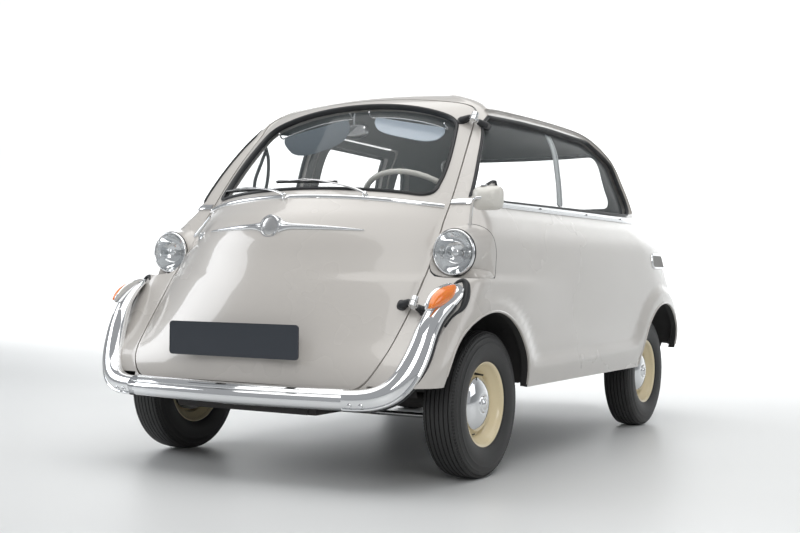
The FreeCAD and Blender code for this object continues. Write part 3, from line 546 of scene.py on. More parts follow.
LONGEST_ROUNDING = 0.08


def corner_ends(before, here, after, radius):
    """Where the rounding of one corner starts and ends."""
    back, ahead = before - here, after - here
    back, ahead = back / np.linalg.norm(back), ahead / np.linalg.norm(ahead)
    half = math.acos(np.clip(back @ ahead, -1, 1)) / 2
    reach = min(radius / math.tan(half), LONGEST_ROUNDING)
    return here + back * reach, here + ahead * reach


def rounded(corners, radius, step=0.006):
    """A closed outline in metres through corner points in millimetres, each corner rounded off."""
    points = [np.array(p, float) * MM for p in corners]
    radius *= MM
    made = []
    for i, here in enumerate(points):
        following, last = points[(i + 1) % len(points)], points[(i + 2) % len(points)]
        start, end = corner_ends(points[i - 1], here, following, radius)
        stop = corner_ends(here, following, last, radius)[0]
        made += [tuple((1 - t) ** 2 * start + 2 * t * (1 - t) * here + t * t * end)
                 for t in np.linspace(0, 1, 9)]
        count = max(int(np.linalg.norm(stop - end) / step), 1)
        made += [tuple(end + (stop - end) * t) for t in np.arange(1, count) / count]
    return made


def grown(outline, by):
    """The closed outline moved outwards by a distance."""
    points = np.array(outline)
    ahead, back = np.roll(points, -1, 0), np.roll(points, 1, 0)
    run = ahead - back
    run /= np.linalg.norm(run, axis=1, keepdims=True)
    out = np.stack([run[:, 1], -run[:, 0]], 1)
    area = (points[:, 0] * ahead[:, 1] - ahead[:, 0] * points[:, 1]).sum()
    return [tuple(p) for p in points + out * (by if area > 0 else -by)]


SEAM_ANGLE = math.radians(50.6)
ACROSS = Vector((1, 0, 0))
DOOR_UP = Vector((0, math.cos(SEAM_ANGLE), math.sin(SEAM_ANGLE)))
DOOR_OUT = ACROSS.cross(DOOR_UP)
LEFT, BACK, UP = Vector((1, 0, 0)), Vector((0, 1, 0)), Vector((0, 0, 1))

DOOR_RUNS = (((0, -635), (190, -631), (370, -620)), ((370, -620), (464, -583), (507, -450)),
             ((507, -450), (521.5, -190), (511, 65)), ((511, 65), (496, 310), (462, 575)),
             ((462, 575), (436, 628), (360, 652)), ((360, 652), (180, 665), (0, 668)))
SCREEN_RUNS = (((0, 100), (200, 108), (390, 136)), ((390, 136), (443, 160), (456, 215)),
               ((456, 215), (451, 335), (422, 500)), ((422, 500), (401, 542), (350, 568)),
               ((350, 568), (180, 606), (0, 618)))


def mirrored_outline(runs):
    half = outline_of(runs) + [tuple(v * MM for v in runs[-1][-1])]
    return half + [(-x, y) for x, y in reversed(half[1:-1])]


def on_plane(outline, right, up, at=Vector((0, 0, 0))):
    return [at + right * x + up * y for x, y in outline]


def cutter(name, points, direction, low, high, material=None):
    """A straight-sided block through the closed outline along direction, between two distances along it."""
    direction = direction.normalized()
    rings = [[p + direction * (reach - p.dot(direction)) for p in points] for reach in (low, high)]
    return rings_mesh(name, rings, material or PAINT)


def skin_outline(points, direction):
    """An outline dropped on the skin along direction: places and normals."""
    return [on_skin(p, direction) for p in points]


door_flat, screen_flat = mirrored_outline(DOOR_RUNS), mirrored_outline(SCREEN_RUNS)
side_door_flat = rounded(((-160, 335), (430, 335), (475, 620), (475, 1000), (440, 1246), (-160, 1258)), 60)
side_hole_flat = rounded(((-166, 329), (436, 329), (481, 620), (488, 1000), (452, 1253), (-166, 1264)), 60)
door_window_flat = rounded(((-100, 935), (430, 935), (430, 1010), (400, 1214), (-100, 1225)), 35)
rear_window_flat = rounded(((-430, 985), (430, 985), (400, 1235), (-400, 1235)), 60)
lid_flat = rounded(((-420, 430), (420, 430), (380, 880), (-380, 880)), 60)
# How far round the corner beside the front door the side glass starts, and its height there.
CORNER_TURN, CORNER_LOW, CORNER_HIGH = math.radians(27), 0.936, 1.218


def side_window_edge():
    """The side glass opening on the left: up the corner beside the front door, then back over the skin."""
    made = []
    for row in sections_between(SECTIONS, STEPS_UP):
        z, _, _, seam_y, side, corner = row[:6]
        if CORNER_LOW < z < CORNER_HIGH:
            made.append(Vector((side - corner + corner * math.sin(CORNER_TURN),
                                seam_y + corner - corner * math.cos(CORNER_TURN), z)))
    over = rounded(((-700, 1236), (-300, 1252), (0, 1256), (390, 1246), (600, 1160), (690, 940), (-700, 926)),
                   60)
    over = [p for p in over if p[0] > made[-1].y + 0.045 or (p[1] < 1.0 and p[0] > made[0].y + 0.05)]
    start = min(range(len(over)), key=lambda i: (over[i][0] + (3 if over[i][1] < 1.1 else 0)))
    over = over[start:] + over[:start]
    made += [on_skin((0, y, z), (1, 0, 0))[0] for y, z in over]
    return made


side_edge = side_window_edge()
OBLIQUE = Vector((0.85, -0.5, 0))


def sided(points, side):
    """The points of a ring drawn on the left, for either side of the car."""
    return [Vector((side * p.x, p.y, p.z)) for p in points]


def normals_of(points):
    return [(p, skin_tree.find_nearest(p)[1]) for p in points]


def rebuilt(name, cutters, operation):
    shell = carve(copy_of(body_solid, name), [inner_solid])
    return carve(shell, cutters, operation)


def depth_range(points, direction, before, after):
    reach = [p.dot(direction.normalized()) for p in points]
    return min(reach) - before, max(reach) + after


# How far along its direction each block reaches, and the gap round the front door and the lid.
DOOR_DEPTH, SIDE_DEPTH, LID_DEPTH = (1.02, 1.9), (0.3, 0.9), (0.85, 1.6)
PANEL_GAP = 0.0055
door_block = cutter("door_block", on_plane(door_flat, ACROSS, DOOR_UP), DOOR_OUT, *DOOR_DEPTH)
door_hole = cutter("door_hole", on_plane(grown(door_flat, PANEL_GAP), ACROSS, DOOR_UP), DOOR_OUT, *DOOR_DEPTH)
screen_hole = cutter("screen_hole", on_plane(screen_flat, ACROSS, DOOR_UP), DOOR_OUT, *DOOR_DEPTH)
side_block = cutter("side_block", on_plane(side_door_flat, BACK, UP), -LEFT, *SIDE_DEPTH)
side_hole = cutter("side_hole", on_plane(side_hole_flat, BACK, UP), -LEFT, *SIDE_DEPTH)
door_window_hole = cutter("door_window_hole", on_plane(door_window_flat, BACK, UP), -LEFT, *SIDE_DEPTH)
rear_hole = cutter("rear_hole", on_plane(rear_window_flat, ACROSS, UP), BACK, 0.45, 1.6)
lid_block = cutter("lid_block", on_plane(lid_flat, ACROSS, UP), BACK, *LID_DEPTH)
lid_hole = cutter("lid_hole", on_plane(grown(lid_flat, PANEL_GAP), ACROSS, UP), BACK, *LID_DEPTH)
side_glass_hole = cutter("side_glass_hole", side_edge, OBLIQUE, *depth_range(side_edge, OBLIQUE, 0.12, 0.4))
right_glass_hole = mirror_x(side_glass_hole)


def block(name, low, high):
    """A plain box used only to cut with."""
    return cutter(name, [Vector((x, y, 0)) for x, y in
                         ((low[0], low[1]), (high[0], low[1]), (high[0], high[1]), (low[0], high[1]))],
                  UP, low[2], high[2])


def disc_x(name, y, z, radius, x0, x1, sides=96):
    """A round cutter along X, used to open a wheel arch."""
    edge = [Vector((0, y + radius * math.cos(a), z + radius * math.sin(a))) for a in round_steps(sides)]
    return cutter(name, edge, LEFT, x0, x1, DARK)


right_front_hole = carve(copy_of(right_glass_hole, "right_front_hole"),
                         [block("ahead", (-1, -1.1, 0.8), (1, -0.215, 1.5))], "INTERSECT")
right_rear_hole = carve(copy_of(right_glass_hole, "right_rear_hole"),
                        [block("behind", (-1, 0.530, 0.8), (1, 1.1, 1.5))], "INTERSECT")
arch_cutters = [disc_x("arch", y, ARCH_Z, ARCH_RADIUS, min(side * 0.5, side * 0.8),
                       max(side * 0.5, side * 0.8)) for y in (FRONT_ARCH, REAR_ARCH) for side in (-1, 1)]
front_under = [block("front_under", (min(s * 0.47, s), -1.6, 0.2), (max(s * 0.47, s), -1.225, 0.325))
               for s in (-1, 1)]
TAIL_CUT = ((1.15, 0.2), (1.5, 0.2), (1.5, 0.365), (1.15, 0.35))
tail_under = cutter("tail_under", [Vector((0, y, z)) for y, z in TAIL_CUT], LEFT, -0.8, 0.8)
LAMP_X, LAMP_Z, LAMP_HOLE = 0.598, 0.743, 0.0805


def pod_hole(side):
    edge = [Vector((side * LAMP_X + LAMP_HOLE * math.cos(a), 0, LAMP_Z + LAMP_HOLE * math.sin(a)))
            for a in round_steps(96)]
    return cutter("pod_hole", edge, BACK, -1.30, -0.875)


pod_holes = [pod_hole(side) for side in (-1, 1)]
vent_flat = rounded(((735, 712), (985, 712), (985, 768), (735, 768)), 24)


body_skin = rebuilt("body_skin", [door_hole, side_hole, lid_hole, side_glass_hole, right_front_hole,
                                  right_rear_hole, rear_hole, *arch_cutters, *front_under, tail_under,
                                  *pod_holes], "DIFFERENCE")
door_skin = carve(rebuilt("door_skin", [door_block], "INTERSECT"), [screen_hole])
side_door_skin = carve(rebuilt("side_door_skin", [side_block], "INTERSECT"), [door_window_hole])
lid_skin = rebuilt("lid_skin", [lid_block], "INTERSECT")


def pane(name, cutters, inset=0.012, thick=0.005):
    """A sheet of glass under the skin, inside the cutters."""
    outside = capped("pane_out", skin_points - skin_normals * inset, WINDOW)
    inside = capped("pane_in", skin_points - skin_normals * (inset + thick) - np.array([0, 0, 0.01])
                    * (np.arange(len(skin_points)) == 0)[:, None, None], WINDOW)
    sheet = carve(outside, [inside])
    sheet = carve(sheet, cutters, "INTERSECT")
    sheet.name = name
    sheet.data.materials.clear()
    sheet.data.materials.append(WINDOW)
    sheet.data.polygons.foreach_set("material_index", [0] * len(sheet.data.polygons))
    drop(inside)
    return smooth(sheet)


windscreen = pane("windscreen_glass", [screen_hole])
left_pane = pane("left_pane", [side_glass_hole])
right_front_pane = pane("right_front_pane", [right_front_hole])
right_rear_pane = pane("right_rear_pane", [right_rear_hole])
door_pane = pane("door_pane", [door_window_hole])
rear_pane = pane("rear_pane", [rear_hole])
for piece in (body_skin, door_skin, side_door_skin, lid_skin):
    smooth(piece, 30)


# ---------------------------------------------------------------- trims that follow the skin

def sweep(name, path, profile, material, closed=True):
    """A profile of (across, out) carried along a path of (place, normal)."""
    points = [Vector(p) for p, _ in path]
    count = len(points)
    rings = []
    for i, (place, normal) in enumerate(path):
        ahead = points[(i + 1) % count] if closed or i < count - 1 else points[i]
        back = points[i - 1] if closed or i > 0 else points[i]
        run = (ahead - back).normalized()
        normal = (normal - run * normal.dot(run)).normalized()
        across = normal.cross(run)
        rings.append([Vector(place) + across * a + normal * o for a, o in profile])
    return smooth(rings_mesh(name, rings, material, closed=closed), 50)


def evened(path, step):
    """The closed path of (place, normal) at even steps."""
    points = [Vector(p) for p, _ in path]
    made, carry = [], 0.0
    for i, here in enumerate(points):
        there = points[(i + 1) % len(points)]
        length = (there - here).length
        while carry < length:
            place = here.lerp(there, carry / length)
            made.append(place)
            carry += step
        carry -= length
    return normals_of(made)


GASKET = [(-0.0070, -0.012), (0.0075, -0.012), (0.0080, 0.001), (0.0060, 0.005), (0.0026, 0.0072),
          (0.001, 0.0060), (-0.001, 0.0060), (-0.0026, 0.0072), (-0.0060, 0.005), (-0.0070, -0.001)]
SLIM = [(a * 0.8, o * 0.8) for a, o in GASKET]
screen_edge = evened(skin_outline(on_plane(screen_flat, ACROSS, DOOR_UP), DOOR_OUT), 0.012)
screen_gasket = sweep("screen_gasket", screen_edge, GASKET, RUBBER)
left_window_path = evened(normals_of(side_edge), 0.012)
left_gasket = sweep("left_window_gasket", left_window_path, SLIM, RUBBER)
rear_window_path = evened(skin_outline(on_plane(rear_window_flat, ACROSS, UP), BACK), 0.012)
rear_gasket = sweep("rear_window_gasket", rear_window_path, GASKET, RUBBER)
door_window_edge = evened(skin_outline(on_plane(door_window_flat, BACK, UP), -LEFT), 0.012)
door_window_gasket = sweep("door_window_gasket", door_window_edge, SLIM, RUBBER)


def right_pane_edge(kept, cut_y):
    """One fixed pane's edge on the right: part of the left opening, mirrored and closed by an upright."""
    points = [p for p in side_edge if kept(p.y)]
    gap = max(range(len(points)), key=lambda i: (points[(i + 1) % len(points)] - points[i]).length)
    points = points[gap + 1:] + points[:gap + 1]
    low, high = sorted((points[0].z, points[-1].z))
    rise = [z for z in np.arange(low + 0.012, high - 0.006, 0.012)]
    if points[-1].z > points[0].z:
        rise.reverse()
    points += [on_skin((0, cut_y, z), LEFT)[0] for z in rise]
    return evened([(Vector((-p.x, p.y, p.z)), None) for p in points], 0.012)


right_gaskets = join("right_window_gaskets", [
    sweep("front_pane_gasket", right_pane_edge(lambda y: y < -0.219, -0.215), SLIM, RUBBER),
    sweep("rear_pane_gasket", right_pane_edge(lambda y: y > 0.534, 0.530), SLIM, RUBBER)])
right_panes = join("right_panes", [right_front_pane, right_rear_pane])


# ---------------------------------------------------------------- repeated small pieces

def ring_tree():
    """Copies of the mesh it is given, set and turned round a circle in its XY plane."""
    tree = bpy.data.node_groups.new("ring_array", "GeometryNodeTree")
    tree.interface.new_socket("Geometry", in_out="INPUT", socket_type="NodeSocketGeometry")
    for label, kind, value in (("Count", "NodeSocketInt", 8), ("Radius", FLOAT, 0.1), ("Spread", FLOAT, 0.0),
                               ("Seed", "NodeSocketInt", 7)):
        tree.interface.new_socket(label, in_out="INPUT", socket_type=kind).default_value = value
    tree.interface.new_socket("Material", in_out="INPUT", socket_type="NodeSocketMaterial")
    tree.interface.new_socket("Geometry", in_out="OUTPUT", socket_type="NodeSocketGeometry")
    start, end = tree.nodes.new("NodeGroupInput"), tree.nodes.new("NodeGroupOutput")
    put = tree.nodes.new("GeometryNodeInstanceOnPoints")
    points = tree.nodes.new("GeometryNodeMeshCircle")
    tree.links.new(start.outputs["Count"], points.inputs["Vertices"])
    tree.links.new(start.outputs["Radius"], points.inputs["Radius"])
    index = tree.nodes.new("GeometryNodeInputIndex")
    share = node(tree, "ShaderNodeMath", [(0, index.outputs[0]), (1, start.outputs["Count"])],
                 operation="DIVIDE")
    angle = node(tree, "ShaderNodeMath", [(0, share.outputs[0])], operation="MULTIPLY")
    angle.inputs[1].default_value = 2 * math.pi
    turn = node(tree, "ShaderNodeCombineXYZ", [("Z", angle.outputs[0])])
    tree.links.new(turn.outputs[0], put.inputs["Rotation"])
    tree.links.new(points.outputs["Mesh"], put.inputs["Points"])
    tree.links.new(start.outputs["Geometry"], put.inputs["Instance"])
    low = node(tree, "ShaderNodeMath", [(1, start.outputs["Spread"])], operation="SUBTRACT")
    low.inputs[0].default_value = 1.0
    chance = tree.nodes.new("FunctionNodeRandomValue")
    tree.links.new(low.outputs[0], chance.inputs[2])
    chance.inputs[3].default_value = 1.0
    tree.links.new(start.outputs["Seed"], chance.inputs["Seed"])
    tree.links.new(chance.outputs[1], put.inputs["Scale"])
    solid, dressed = tree.nodes.new("GeometryNodeRealizeInstances"), tree.nodes.new("GeometryNodeSetMaterial")
    tree.links.new(put.outputs[0], solid.inputs[0])
    tree.links.new(solid.outputs[0], dressed.inputs["Geometry"])
    tree.links.new(start.outputs["Material"], dressed.inputs["Material"])
    tree.links.new(dressed.outputs[0], end.inputs[0])
    return tree


RING_ARRAY = ring_tree()


def repeated(piece, material, **inputs):
    """The piece turned into a ring of its copies."""
    step = piece.modifiers.new("array", "NODES")
    step.node_group = RING_ARRAY
    names = {item.name: item.identifier for item in RING_ARRAY.interface.items_tree if item.in_out == "INPUT"}
    for key, value in inputs.items():
        step[names[key]] = value
    step[names["Material"]] = material
    return baked(piece)


def shaped(piece, matrix):
    piece.data.transform(matrix)
    if matrix.determinant() < 0:
        piece.data.flip_normals()
    return piece


def turned_copy(piece, name, side, place):
    """A wheel part made for the left side, set at its hub on either side."""
    made = copy_of(piece, name)
    made.data.transform(Matrix.Translation(place) @ Matrix.Rotation(0 if side > 0 else math.pi, 4, "Z"))
    return made


# ---------------------------------------------------------------- wheels, made for the left at the origin

TREAD_HALF, TYRE_RADIUS = 0.0530, 0.2440


def tyre_profile():
    """Across and radius, from the inner bead over the tread to the outer bead."""
    wall = [(0.0435, 0.1300), (0.0470, 0.1345), (0.0515, 0.1400), (0.0535, 0.1455), (0.0548, 0.1465),
            (0.0562, 0.1458), (0.0590, 0.1520), (0.0622, 0.1620), (0.0645, 0.1730), (0.0655, 0.1840),
            (0.0656, 0.1950), (0.0646, 0.2020), (0.0650, 0.2032), (0.0644, 0.2044), (0.0632, 0.2046),
            (0.0618, 0.2120), (0.0598, 0.2190), (0.0602, 0.2203), (0.0594, 0.2215), (0.0578, 0.2222),
            (0.0560, 0.2270), (0.0552, 0.2300), (0.0500, 0.2318), (0.0492, 0.2394)]
    tread = []
    for centre in (0.0395, 0.0235, 0.0080):
        for edge, deep in ((0.0019, 0), (0.0013, 0.0055), (-0.0013, 0.0055), (-0.0019, 0)):
            x = centre + edge
            tread.append((x, TYRE_RADIUS - 0.0045 * (x / TREAD_HALF) ** 2 - deep))
    half = wall + tread
    return [(-x, r) for x, r in half] + [(x, r) for x, r in reversed(half)]


def lug(name):
    """One shoulder block of the tread, tapered to its outer end. Drawn at the top of a ring about Z."""
    low, high = -0.0060, 0.0032
    rings = []
    for z, wide, top in ((-0.0075, 0.0030, high - 0.0008), (0.0, 0.0030, high),
                         (0.0062, 0.0024, high - 0.0045)):
        rings.append([(low, -wide, z), (low, wide, z), (top, wide * 0.85, z), (top, -wide * 0.85, z)])
    return rings_mesh(name, rings, TYRE)


tyre_body = smooth(lathe("tyre_body", tyre_profile(), (0, 0, 0), (1, 0, 0), TYRE, sides=96, closed=True), 40)
shoulders = []
for turn, shift in ((1, 0.0475), (-1, -0.0475)):
    ring = repeated(lug("lugs"), TYRE, Count=132, Radius=0.2365, Spread=0.03, Seed=7)
    ring = shaped(ring, Matrix.Translation((shift, 0, 0)) @ Matrix.Rotation(turn * math.pi / 2, 4, "Y"))
    shoulders.append(ring)
tyre_master = join("tyre_master", [tyre_body, *shoulders])

rim_outside = [(-0.046, 0.1325), (-0.052, 0.1370), (-0.0525, 0.1405), (-0.0490, 0.1415), (-0.0470, 0.1385),
               (-0.0440, 0.1330), (-0.0300, 0.1270), (-0.0240, 0.1120), (0.0200, 0.1120), (0.0280, 0.1270),
               (0.0440, 0.1330), (0.0470, 0.1385), (0.0490, 0.1415), (0.0525, 0.1405), (0.0520, 0.1370),
               (0.0475, 0.1318), (0.0400, 0.1285), (0.0310, 0.1240), (0.0230, 0.1140), (0.0150, 0.1090),
               (0.0080, 0.1060), (0.0090, 0.0990), (0.0150, 0.0940), (0.0180, 0.0880), (0.0150, 0.0700),
               (0.0170, 0.0300), (0.0170, 0.0160), (0.0110, 0.0160), (0.0110, 0.0700), (0.0100, 0.0860),
               (0.0030, 0.0930), (0.0010, 0.1050), (-0.0100, 0.1060), (-0.0270, 0.1070), (-0.0350, 0.1220)]
rim_shell = smooth(lathe("rim_shell", rim_outside, (0, 0, 0), (1, 0, 0), RIM, sides=72, closed=True), 35)
drum_profile = [(-0.043, 0.016), (-0.043, 0.088), (-0.038, 0.094), (-0.030, 0.095), (-0.028, 0.091),
                (-0.024, 0.091), (-0.022, 0.095), (-0.012, 0.095), (-0.006, 0.088), (-0.004, 0.016)]
drum = smooth(lathe("drum", drum_profile, (0, 0, 0), (1, 0, 0), ENGINE, sides=48, closed=True), 35)
valve = lathe("valve", [(0.010, 0.0001), (0.010, 0.0042), (0.020, 0.0040), (0.030, 0.0034), (0.036, 0.0030),
                        (0.037, 0.0034), (0.043, 0.0032), (0.044, 0.0001)], (0, 0, 0.101), (1, 0, -0.12),
              RUBBER, 12)
# Eight dark rubber patches on the wheel's disc: painted shade standing in for the dark inside its slots.
SLOT = ((-0.010, 0.1005), (0.010, 0.1005), (0.008, 0.1035), (-0.008, 0.1035))
slot_shade_shape = rings_mesh("rim_slot", [[(x * 0.9, y, z) for y, z in SLOT] for x in (0.0075, 0.0115)], RUBBER)
slot_shade_shape = shaped(slot_shade_shape, Matrix.Rotation(math.pi / 2, 4, "Y"))
slots = shaped(repeated(slot_shade_shape, RUBBER, Count=8, Radius=0.0), Matrix.Rotation(-math.pi / 2, 4, "Y"))
rim_master = join("rim_master", [rim_shell, drum, smooth(valve), slots])
cap_profile = [(0.0203, 0.0), (0.0203, 0.0885), (0.0215, 0.0900), (0.0240, 0.0900), (0.0262, 0.0880),
               (0.0275, 0.0855), (0.0300, 0.0825), (0.0345, 0.0745), (0.0390, 0.0640), (0.0425, 0.0520),
               (0.0448, 0.0400), (0.0456, 0.0330), (0.0448, 0.0300), (0.0462, 0.0275), (0.0490, 0.0255),
               (0.0500, 0.0215), (0.0495, 0.0185), (0.0515, 0.0160), (0.0540, 0.0110), (0.0555, 0.0055),
               (0.0558, 0.0)]
cap_master = smooth(lathe("cap_master", cap_profile, (0, 0, 0), (1, 0, 0), CHROME, sides=64), 24)
wheels = []
for end, y, half_track in (("front", -0.9, 0.61), ("rear", 0.8, 0.58)):
    for name, side in (("left", 1), ("right", -1)):
        hub = Vector((side * half_track, y, TYRE_RADIUS))
        for kind, master, slot in (("tyre", tyre_master, "tyre"), ("rim", rim_master, "rim_paint"),
                                   ("hubcap", cap_master, "chrome")):
            label = "%s_%s_%s" % (kind, end, name)
            wheels.append((turned_copy(master, label + "_look", side, hub), "wheel_%s_%s" % (end, name),
                           label, slot))
drop(tyre_master, rim_master, cap_master)


# ---------------------------------------------------------------- front bumper, horns and indicators

def arc_path(half_x, end_y, mid_y, count=40):
    """Places and outward directions along the bumper's plan arc."""
    rise = abs(mid_y - end_y)
    radius = (half_x ** 2 + rise ** 2) / (2 * rise)
    sign = -1 if mid_y < end_y else 1
    centre = mid_y - sign * radius
    turn = math.asin(half_x / radius)
    return [(Vector((radius * math.sin(a), centre + sign * radius * math.cos(a), 0)),
             Vector((math.sin(a), sign * math.cos(a), 0))) for a in np.linspace(-turn, turn, count)]


def bar_piece(name, path, profile, material, rounded_ends=0):
    """A level bar. Profile: outwards, height. For rounded ends its last stations draw in to the middle."""
    middle = [sum(v) / len(profile) for v in zip(*profile)]
    rings = []
    for i, (place, out) in enumerate(path):
        inside = min(i, len(path) - 1 - i)
        size = math.sqrt(max(1 - (1 - inside / rounded_ends) ** 2, 0.02)) if inside < rounded_ends else 1
        section = [(middle[0] + (o - middle[0]) * size, middle[1] + (z - middle[1]) * size)
                   for o, z in profile]
        rings.append([place + out * o + UP * z for o, z in section])
    return smooth(rings_mesh(name, rings, material), 40)


FRONT_BAR = ((-0.008, 0.2500), (0.006, 0.2505), (0.017, 0.2540), (0.026, 0.2610), (0.0315, 0.2700),
             (0.0335, 0.2800), (0.0315, 0.2885), (0.0270, 0.2950), (0.0215, 0.2985), (0.0185, 0.3000),
             (0.0190, 0.3020), (0.0150, 0.3060), (0.0090, 0.3110), (0.0020, 0.3155), (-0.008, 0.3180))
front_bar = bar_piece("front_bar", arc_path(0.430, -1.374, -1.416), FRONT_BAR, CHROME)

# Horn stations: centre x, y, z, half width across, half depth, in millimetres.
HORN = ((424, -1396, 284, 33, 25), (470, -1386, 285, 34, 26), (520, -1371, 292, 36, 26),
        (563, -1350, 312, 39, 26), (592, -1326, 346, 41, 26), (611, -1302, 390, 42, 25),
        (623, -1278, 440, 40, 24), (631, -1252, 495, 37, 23), (641, -1218, 545, 35, 21),
        (652, -1170, 586, 35, 17), (658, -1120, 616, 31, 13), (661, -1090, 632, 18, 8))


def smooth_rows(rows, count):
    """Rows read between at even steps along the table by a smooth curve."""
    table = np.array(rows, float) * MM
    slope = np.gradient(table, axis=0)
    made = []
    for t in np.linspace(0, len(table) - 1, count):
        i = min(int(t), len(table) - 2)
        made.append(between(table[i], table[i + 1], slope[i], slope[i + 1], t - i))
    return made


HORN_LINE = smooth_rows(HORN, 60)


def tapered(name, path, profile, sizes, material, side=1):
    """A profile scaled at each place of an open path of (place, normal). Sizes: across, out."""
    points = [Vector(p) for p, _ in path]
    rings = []
    for i, ((place, normal), (wide, high)) in enumerate(zip(path, sizes)):
        run = (points[min(i + 1, len(points) - 1)] - points[max(i - 1, 0)]).normalized()
        normal = (normal - run * normal.dot(run)).normalized()
        across = normal.cross(run)
        ring = [Vector(place) + across * (a * wide) + normal * (o * high) for a, o in profile]
        rings.append(sided(ring, side))
    return smooth(rings_mesh(name, rings, material), 45)


def horn_frame(i):
    """Outboard and forward directions at one station."""
    before, after = HORN_LINE[max(i - 1, 0)][:3], HORN_LINE[min(i + 1, len(HORN_LINE) - 1)][:3]
    run = Vector(after - before).normalized()
    out = Vector((0.25, -1, 0)).cross(run).normalized()
    return out, run.cross(out).normalized()


def horn_piece(side):
    """A broad chrome blade with a rolled edge along its inner side."""
    profile = [(-1.0, -0.9), (-1.0, -0.1), (-0.96, 0.35), (-0.86, 0.62), (-0.74, 0.66), (-0.66, 0.55),
               (-0.5, 0.72), (-0.2, 0.92), (0.15, 0.98), (0.5, 0.85), (0.8, 0.5), (0.97, 0.05), (1.0, -0.4),
               (0.9, -0.9)]
    rings = []
    for i, row in enumerate(HORN_LINE):
        out, forward = horn_frame(i)
        centre = Vector(row[:3])
        ring = [centre + out * (row[3] * a) + forward * (row[4] * b) for a, b in profile]
        rings.append(sided(ring, side))
    return smooth(rings_mesh("horn", rings, CHROME), 38)


def horn_gasket(side):
    """The dark strip between the horn's inner edge and the wing."""
    rings = []
    for i in range(9, 50):
        row = HORN_LINE[i]
        out, forward = horn_frame(i)
        centre = Vector(row[:3]) - out * row[3] - forward * (row[4] * 0.3)
        ring = [centre + out * (0.004 * math.cos(a)) + forward * (0.011 * math.sin(a))
                for a in round_steps(8)]
        rings.append(sided(ring, side))
    return smooth(rings_mesh("horn_gasket", rings, RUBBER))


def bolt_head(place, facing, radius=0.0075):
    profile = [(-0.003, radius), (0.0, radius), (0.002, radius * 0.9), (0.0035, radius * 0.55), (0.004, 0.0)]
    return smooth(lathe("bolt", profile, place, facing, CHROME, sides=20))


horns = [both_sides("bumper_horns_look", horn_piece)]
bolts = [bolt_head((side * x, y, 0.272), (side * 0.15, -1, 0)) for side in (-1, 1)
         for x, y in ((0.455, -1.4135), (0.490, -1.4045))]


def leaf(name, side, grow, lift, material, thick):
    """The indicator's leaf: pointed in front and below, blunt behind. Rows: along, top, bottom, height."""
    rows = ((-0.03, 0.003, 0.002, 0.35), (0.02, 0.012, -0.003, 0.65), (0.09, 0.020, -0.008, 0.8),
            (0.17, 0.0265, -0.0125, 0.9), (0.26, 0.0305, -0.017, 1.0), (0.38, 0.0325, -0.0235, 1.0),
            (0.48, 0.0310, -0.0275, 1.0), (0.57, 0.0290, -0.0300, 1.0), (0.66, 0.0255, -0.0255, 0.98),
            (0.75, 0.0215, -0.0135, 0.9), (0.81, 0.0180, -0.0030, 0.8), (0.84, 0.0160, 0.0050, 0.6),
            (0.855, 0.0145, 0.0120, 0.4))
    start, end = Vector((0.640, -1.256, 0.566)), Vector((0.652, -1.090, 0.636))
    run = (end - start).normalized()
    out = Vector((0.92, -0.38, 0.05))
    out = (out - run * out.dot(run)).normalized()
    rise = run.cross(out)
    rise = rise if rise.z > 0 else -rise
    rings = []
    for t, top, low, high in rows:
        centre = start.lerp(end, t) + run * (grow * (2 * t - 1)) + out * lift
        middle, half = (top + low) / 2, (top - low) / 2 + grow
        ring = []
        for a in round_steps(20):
            bulge = max(math.sin(a), -0.35)
            ring.append(centre + rise * (middle + half * math.cos(a)) + out * (thick * high * bulge))
        rings.append(sided(ring, side))
    return smooth(rings_mesh(name, rings, material), 50)


# The rubber loop that ends the strip between the horn and the wing. Columns: place, half width, height.
LOOP = ((637, -1082, 641, 4, 4), (648, -1071, 650, 6, 6), (659, -1064, 652, 9, 8), (670, -1064, 641, 12, 10),
        (678, -1075, 619, 13, 11), (682, -1089, 594, 12.5, 10), (682, -1104, 574, 10.5, 9),
        (679, -1117, 561, 8, 7), (674, -1128, 553, 5.5, 5), (665, -1149, 538, 4, 4), (660, -1165, 523, 4, 4),
        (656, -1180, 508, 4, 4))


def rubber_loop(side):
    rows = smooth_rows(LOOP, 60)
    path = normals_of([skin_tree.find_nearest(Vector(row[:3]))[0] for row in rows])
    outline = [(-1, -0.6), (-0.92, 0.25), (-0.55, 0.82), (0, 1), (0.55, 0.82), (0.92, 0.25), (1, -0.6)]
    return tapered("rubber_loop", path, outline, [tuple(row[3:]) for row in rows], RUBBER, side)


indicator_lenses = [join("indicators_look", [leaf("leaf", s, 0.0, 0.004, AMBER, 0.020) for s in (-1, 1)])]
indicator_beds = [join("indicator_beds", [leaf("leaf_bed", s, 0.005, -0.004, CHROME, 0.012)
                                          for s in (-1, 1)])]
horn_trims = [join("horn_gaskets", [horn_gasket(1), horn_gasket(-1), rubber_loop(1), rubber_loop(-1)])]


# ---------------------------------------------------------------- more ways to sweep

def curve_through(points, count):
    return [Vector(p) / MM for p in smooth_rows([tuple(p) for p in points], count)]


def tube(name, points, radius, material, count=40, sides=12, closed=False, flat=1.0):
    """A round bar through the points, in metres."""
    places = curve_through(points, count) if count else [Vector(p) for p in points]
    side = (places[1] - places[0]).orthogonal().normalized()
    rings = []
    for i, place in enumerate(places):
        ahead = places[(i + 1) % len(places)] if closed or i < len(places) - 1 else places[i]
        back = places[i - 1] if closed or i else places[i]
        run = (ahead - back).normalized()
        side = (side - run * side.dot(run)).normalized()
        other = run.cross(side)
        reach = radius[min(i, len(radius) - 1)] if isinstance(radius, (list, tuple)) else radius
        rings.append([place + side * (reach * math.cos(a)) + other * (reach * flat * math.sin(a))
                      for a in round_steps(sides)])
    return smooth(rings_mesh(name, rings, material, closed=closed), 45)


